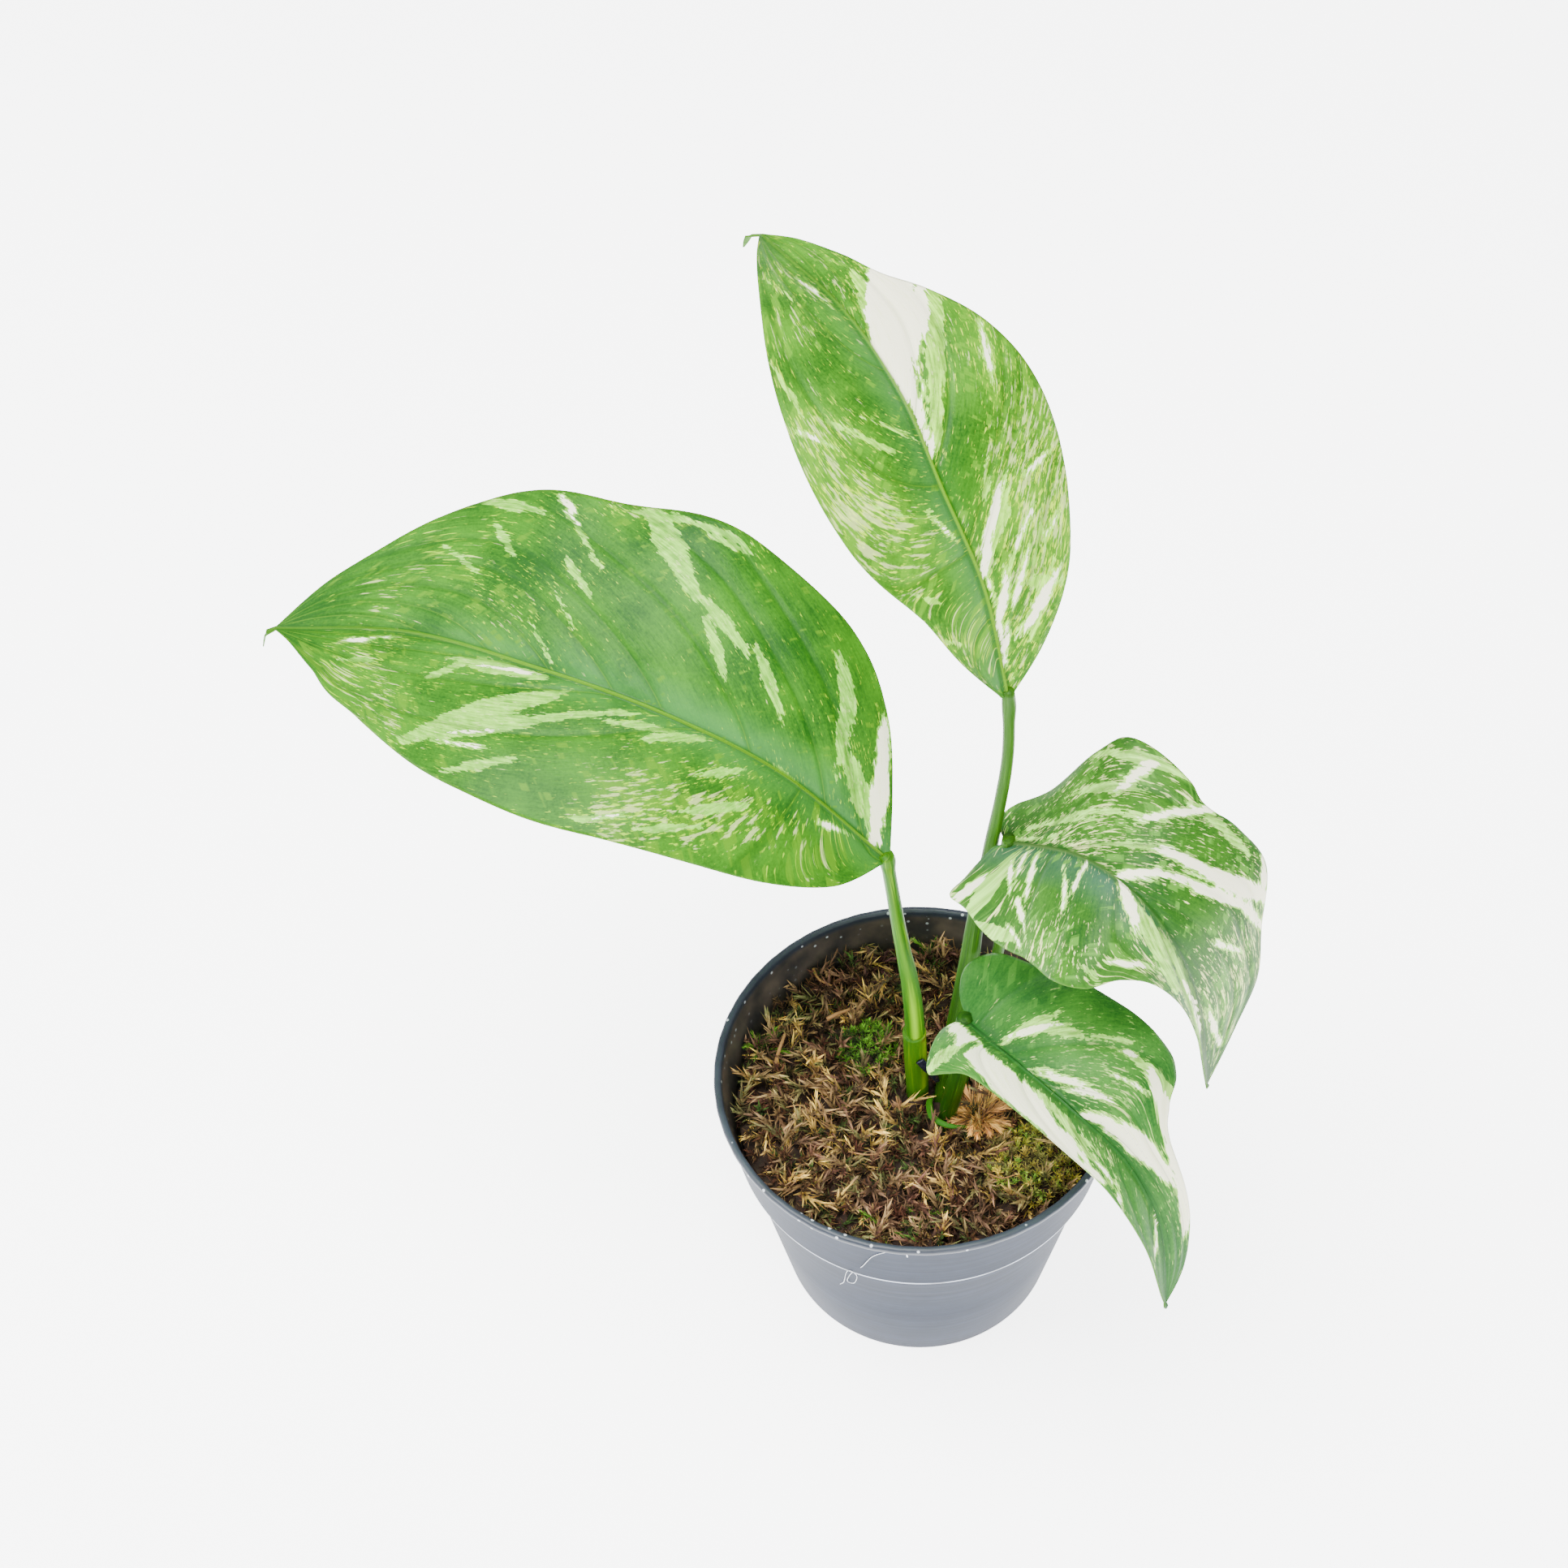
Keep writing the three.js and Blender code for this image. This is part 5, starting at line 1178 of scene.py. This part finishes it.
def waxy_blade(tones, rib_end, underside):
    """Living leaf: waxy and satin. Beside the rib, painted sheen in bluish grey and painted shade in deep
    green, warmer outwards, with pale flecks, flakes and torn patches between the fine veins. The underside
    is paler and matt."""
    def build(tree):
        from_rib, from_vein, mottled, onward, share, pale, cream = (
            add(tree, "Attribute", out="Fac", attribute_name=name)
            for name in ("from_rib", "from_vein", "mottled", "onward", "share", "pale", "cream"))
        aside, apart = (add(tree, "Math", {0: value}, operation="ABSOLUTE")
                        for value in (from_rib, from_vein))
        place = add(tree, "TexCoord", out="Object")
        grain = add(tree, "TexNoise", {"Vector": place, "Scale": 1400.0, "Detail": 2.0}, "Fac")
        cloud = add(tree, "TexNoise", {"Vector": place, "Scale": 55.0, "Detail": 3.0}, "Fac")
        streak, fine, torn, thin, dash, jag, frill = (
            add(tree, "Group", mark, node_tree=VEIN_PATTERN) for mark in MARKS.values())

        tone = weighed(tree, (streak, 0.7), (cloud, 1.3), (grain, 0.5), (mottled, 0.25), (fine, 0.5))
        # Beside the rib: the greyer, bluish tones are a painted sheen, the deep green ones painted shade
        beside = painted(tree, tones["beside"][1], (tones["beside"][0], (from_rib, -0.01, 0.01)))
        flake = weighed(tree, (torn, 1), (mottled, 0.2))
        halo = add(tree, "MapRange", dict(zip(RAMP, (pale, -5.0, 0.0, 0.0, 0.07))))
        fleck = weighed(tree, (thin, 1), (halo, 1), (mottled, 0.13))
        ragged = weighed(tree, (jag, 2.8), (frill, 2.4), (-2.5, 1))
        pale = weighed(tree, (pale, 1), (ragged, 1))
        cream = weighed(tree, (cream, 1), (ragged, 1))
        torn_pale = painted(tree, tones["pale"][0],
                            (tones["pale"][1], (weighed(tree, (streak, 0.6), (torn, 0.4)), 0.4, 0.62)),
                            (CREAM[1], (frill, 0.55, 0.7, 0, 0.45)))
        torn_cream = painted(tree, CREAM[0], (CREAM[1], (streak, 0.55, 0.8, 0, 0.6)))
        skin = painted(
            tree, tones["deep"],
            (tones["bright"], (tone, 1.28, 1.85)),
            (beside, (aside, 1, 11, 0.75, 0), (cloud, 0.35, 0.6, 0.4, 1), (onward, 0.5, 0.85, 1, 0)),
            (tones["flake"], (weighed(tree, (cloud, 0.6), (mottled, 1)), 0.7, 1.2, 0, tones["wash"])),
            (tones["flake"], (flake, 0.65, 0.71, 0, 0.65)),
            (tones["fleck"], (fleck, 0.7, 0.78, 0, 0.7)),
            (CREAM[1], (weighed(tree, (dash, 1), (mottled, 0.26)), 0.745, 0.8, 0, tones["dash"])),
            (torn_pale, (pale, -0.08, 0.08)),
            (torn_cream, (cream, -0.08, 0.08)),
            # Painted shade along the sunk side veins, their pale threads, painted shade on the banks of the
            # rib, the rib and the margin
            (tones["deep"], (apart, 0.3, 1.1, 0.4, 0), (cream, -0.08, 0.08, 1, 0.2)),
            (tones["rib"], (apart, 0.06, 0.22, 0.45, 0), (aside, 2, 14, 1, 0)),
            (tones["deep"], (aside, 0.6, 1.6, 0.7, 0), (cream, -0.08, 0.08, 1, 0.1)),
            (tones["rib"], (aside, 0.35, 0.6, 1, 0), (onward, rib_end - 0.35, rib_end, 1, 0.3)),
            ("#4d7a1a", (share, 0.985, 0.999, 0, 0.5)))
        if underside:
            skin = add(tree, "Mix", {0: 0.4, 6: skin, 7: colour("#6f9a5a")}, out=2, data_type="RGBA")
        bump = add(tree, "Bump", {"Height": weighed(tree, (streak, 1), (grain, 1)), "Strength": 0.3,
                                  "Distance": 0.0002})
        return {"Base Color": skin, "Roughness": 0.65 if underside else 0.42, "IOR": 1.45,
                "Specular IOR Level": 0.14, "Normal": bump}
    return build


for name, leaf in LEAVES.items():
    finishes = [finish_material(f"waxy_blade_{name}_{face}", waxy_blade(leaf["tones"], leaf["rib"]["end"],
                                                                       face == "underside"))
                for face in ("face", "underside")]
    settle(make_blade(f"blade_{name}", leaf, finishes), f"leaf_{name}")


# Old sheath and tie. A strap of the sheath that once wrapped the young leaf lies round the front stalk,
# tapering to a point, and a scrap of thin blue-black plastic tie is caught between the two stems.
def strap(route, widths, thickness, facing):
    """A flat closed strap along a route, with its widths spread evenly along it."""
    def outline(u, angle):
        half = eased(widths, u) / 2 + 0 * angle
        return thickness / 2 * np.sign(np.cos(angle)) * np.abs(np.cos(angle)) ** 0.5, half * np.sin(angle)
    return tube(route, 40, 16, facing, outline)


sheath_route = [(3.6, -3.0, 82), (3.2, -6.2, 83), (4.2, -10.6, 83.5), (7.3, -13, 83.8), (11.1, -13.8, 83.6),
                (15.5, -13, 82.6)]
points, faces, turn, height = strap(sheath_route, [1.6, 2, 2, 1.7, 1.2, 0.5], 0.8, (0, -0.55, 0.85))
sheath = make_piece("old_sheath", points, faces,
                    [finish_material("juicy_sheath", juicy_stem("#1f5a06", "#3c7412", "#69a020"))])
store(sheath, turn=turn, height=height, scar=0 * turn, stripe=0 * turn)
settle(sheath, "cataphyll")

# Thin blown polyethylene: blue-black, wrinkled, with a soft shine
blown_polyethylene = mottled("#05070f", "#1b2038", 700, 3, 0.35, (0.6, 0.0005))
tie_route = [(0.3, -2.1, 100), (2.2, -2.1, 96.6), (4.3, -1.8, 92.4), (5.5, -1.4, 88.4)]
points, faces, *_ = strap(tie_route, [2.5, 2.6, 2.2, 1.6], 0.7, (0.1, -0.9, 0.4))
tie = make_piece("plastic_tie", points, faces, [finish_material("blown_polyethylene", blown_polyethylene)])
settle(tie, "tie_strip")
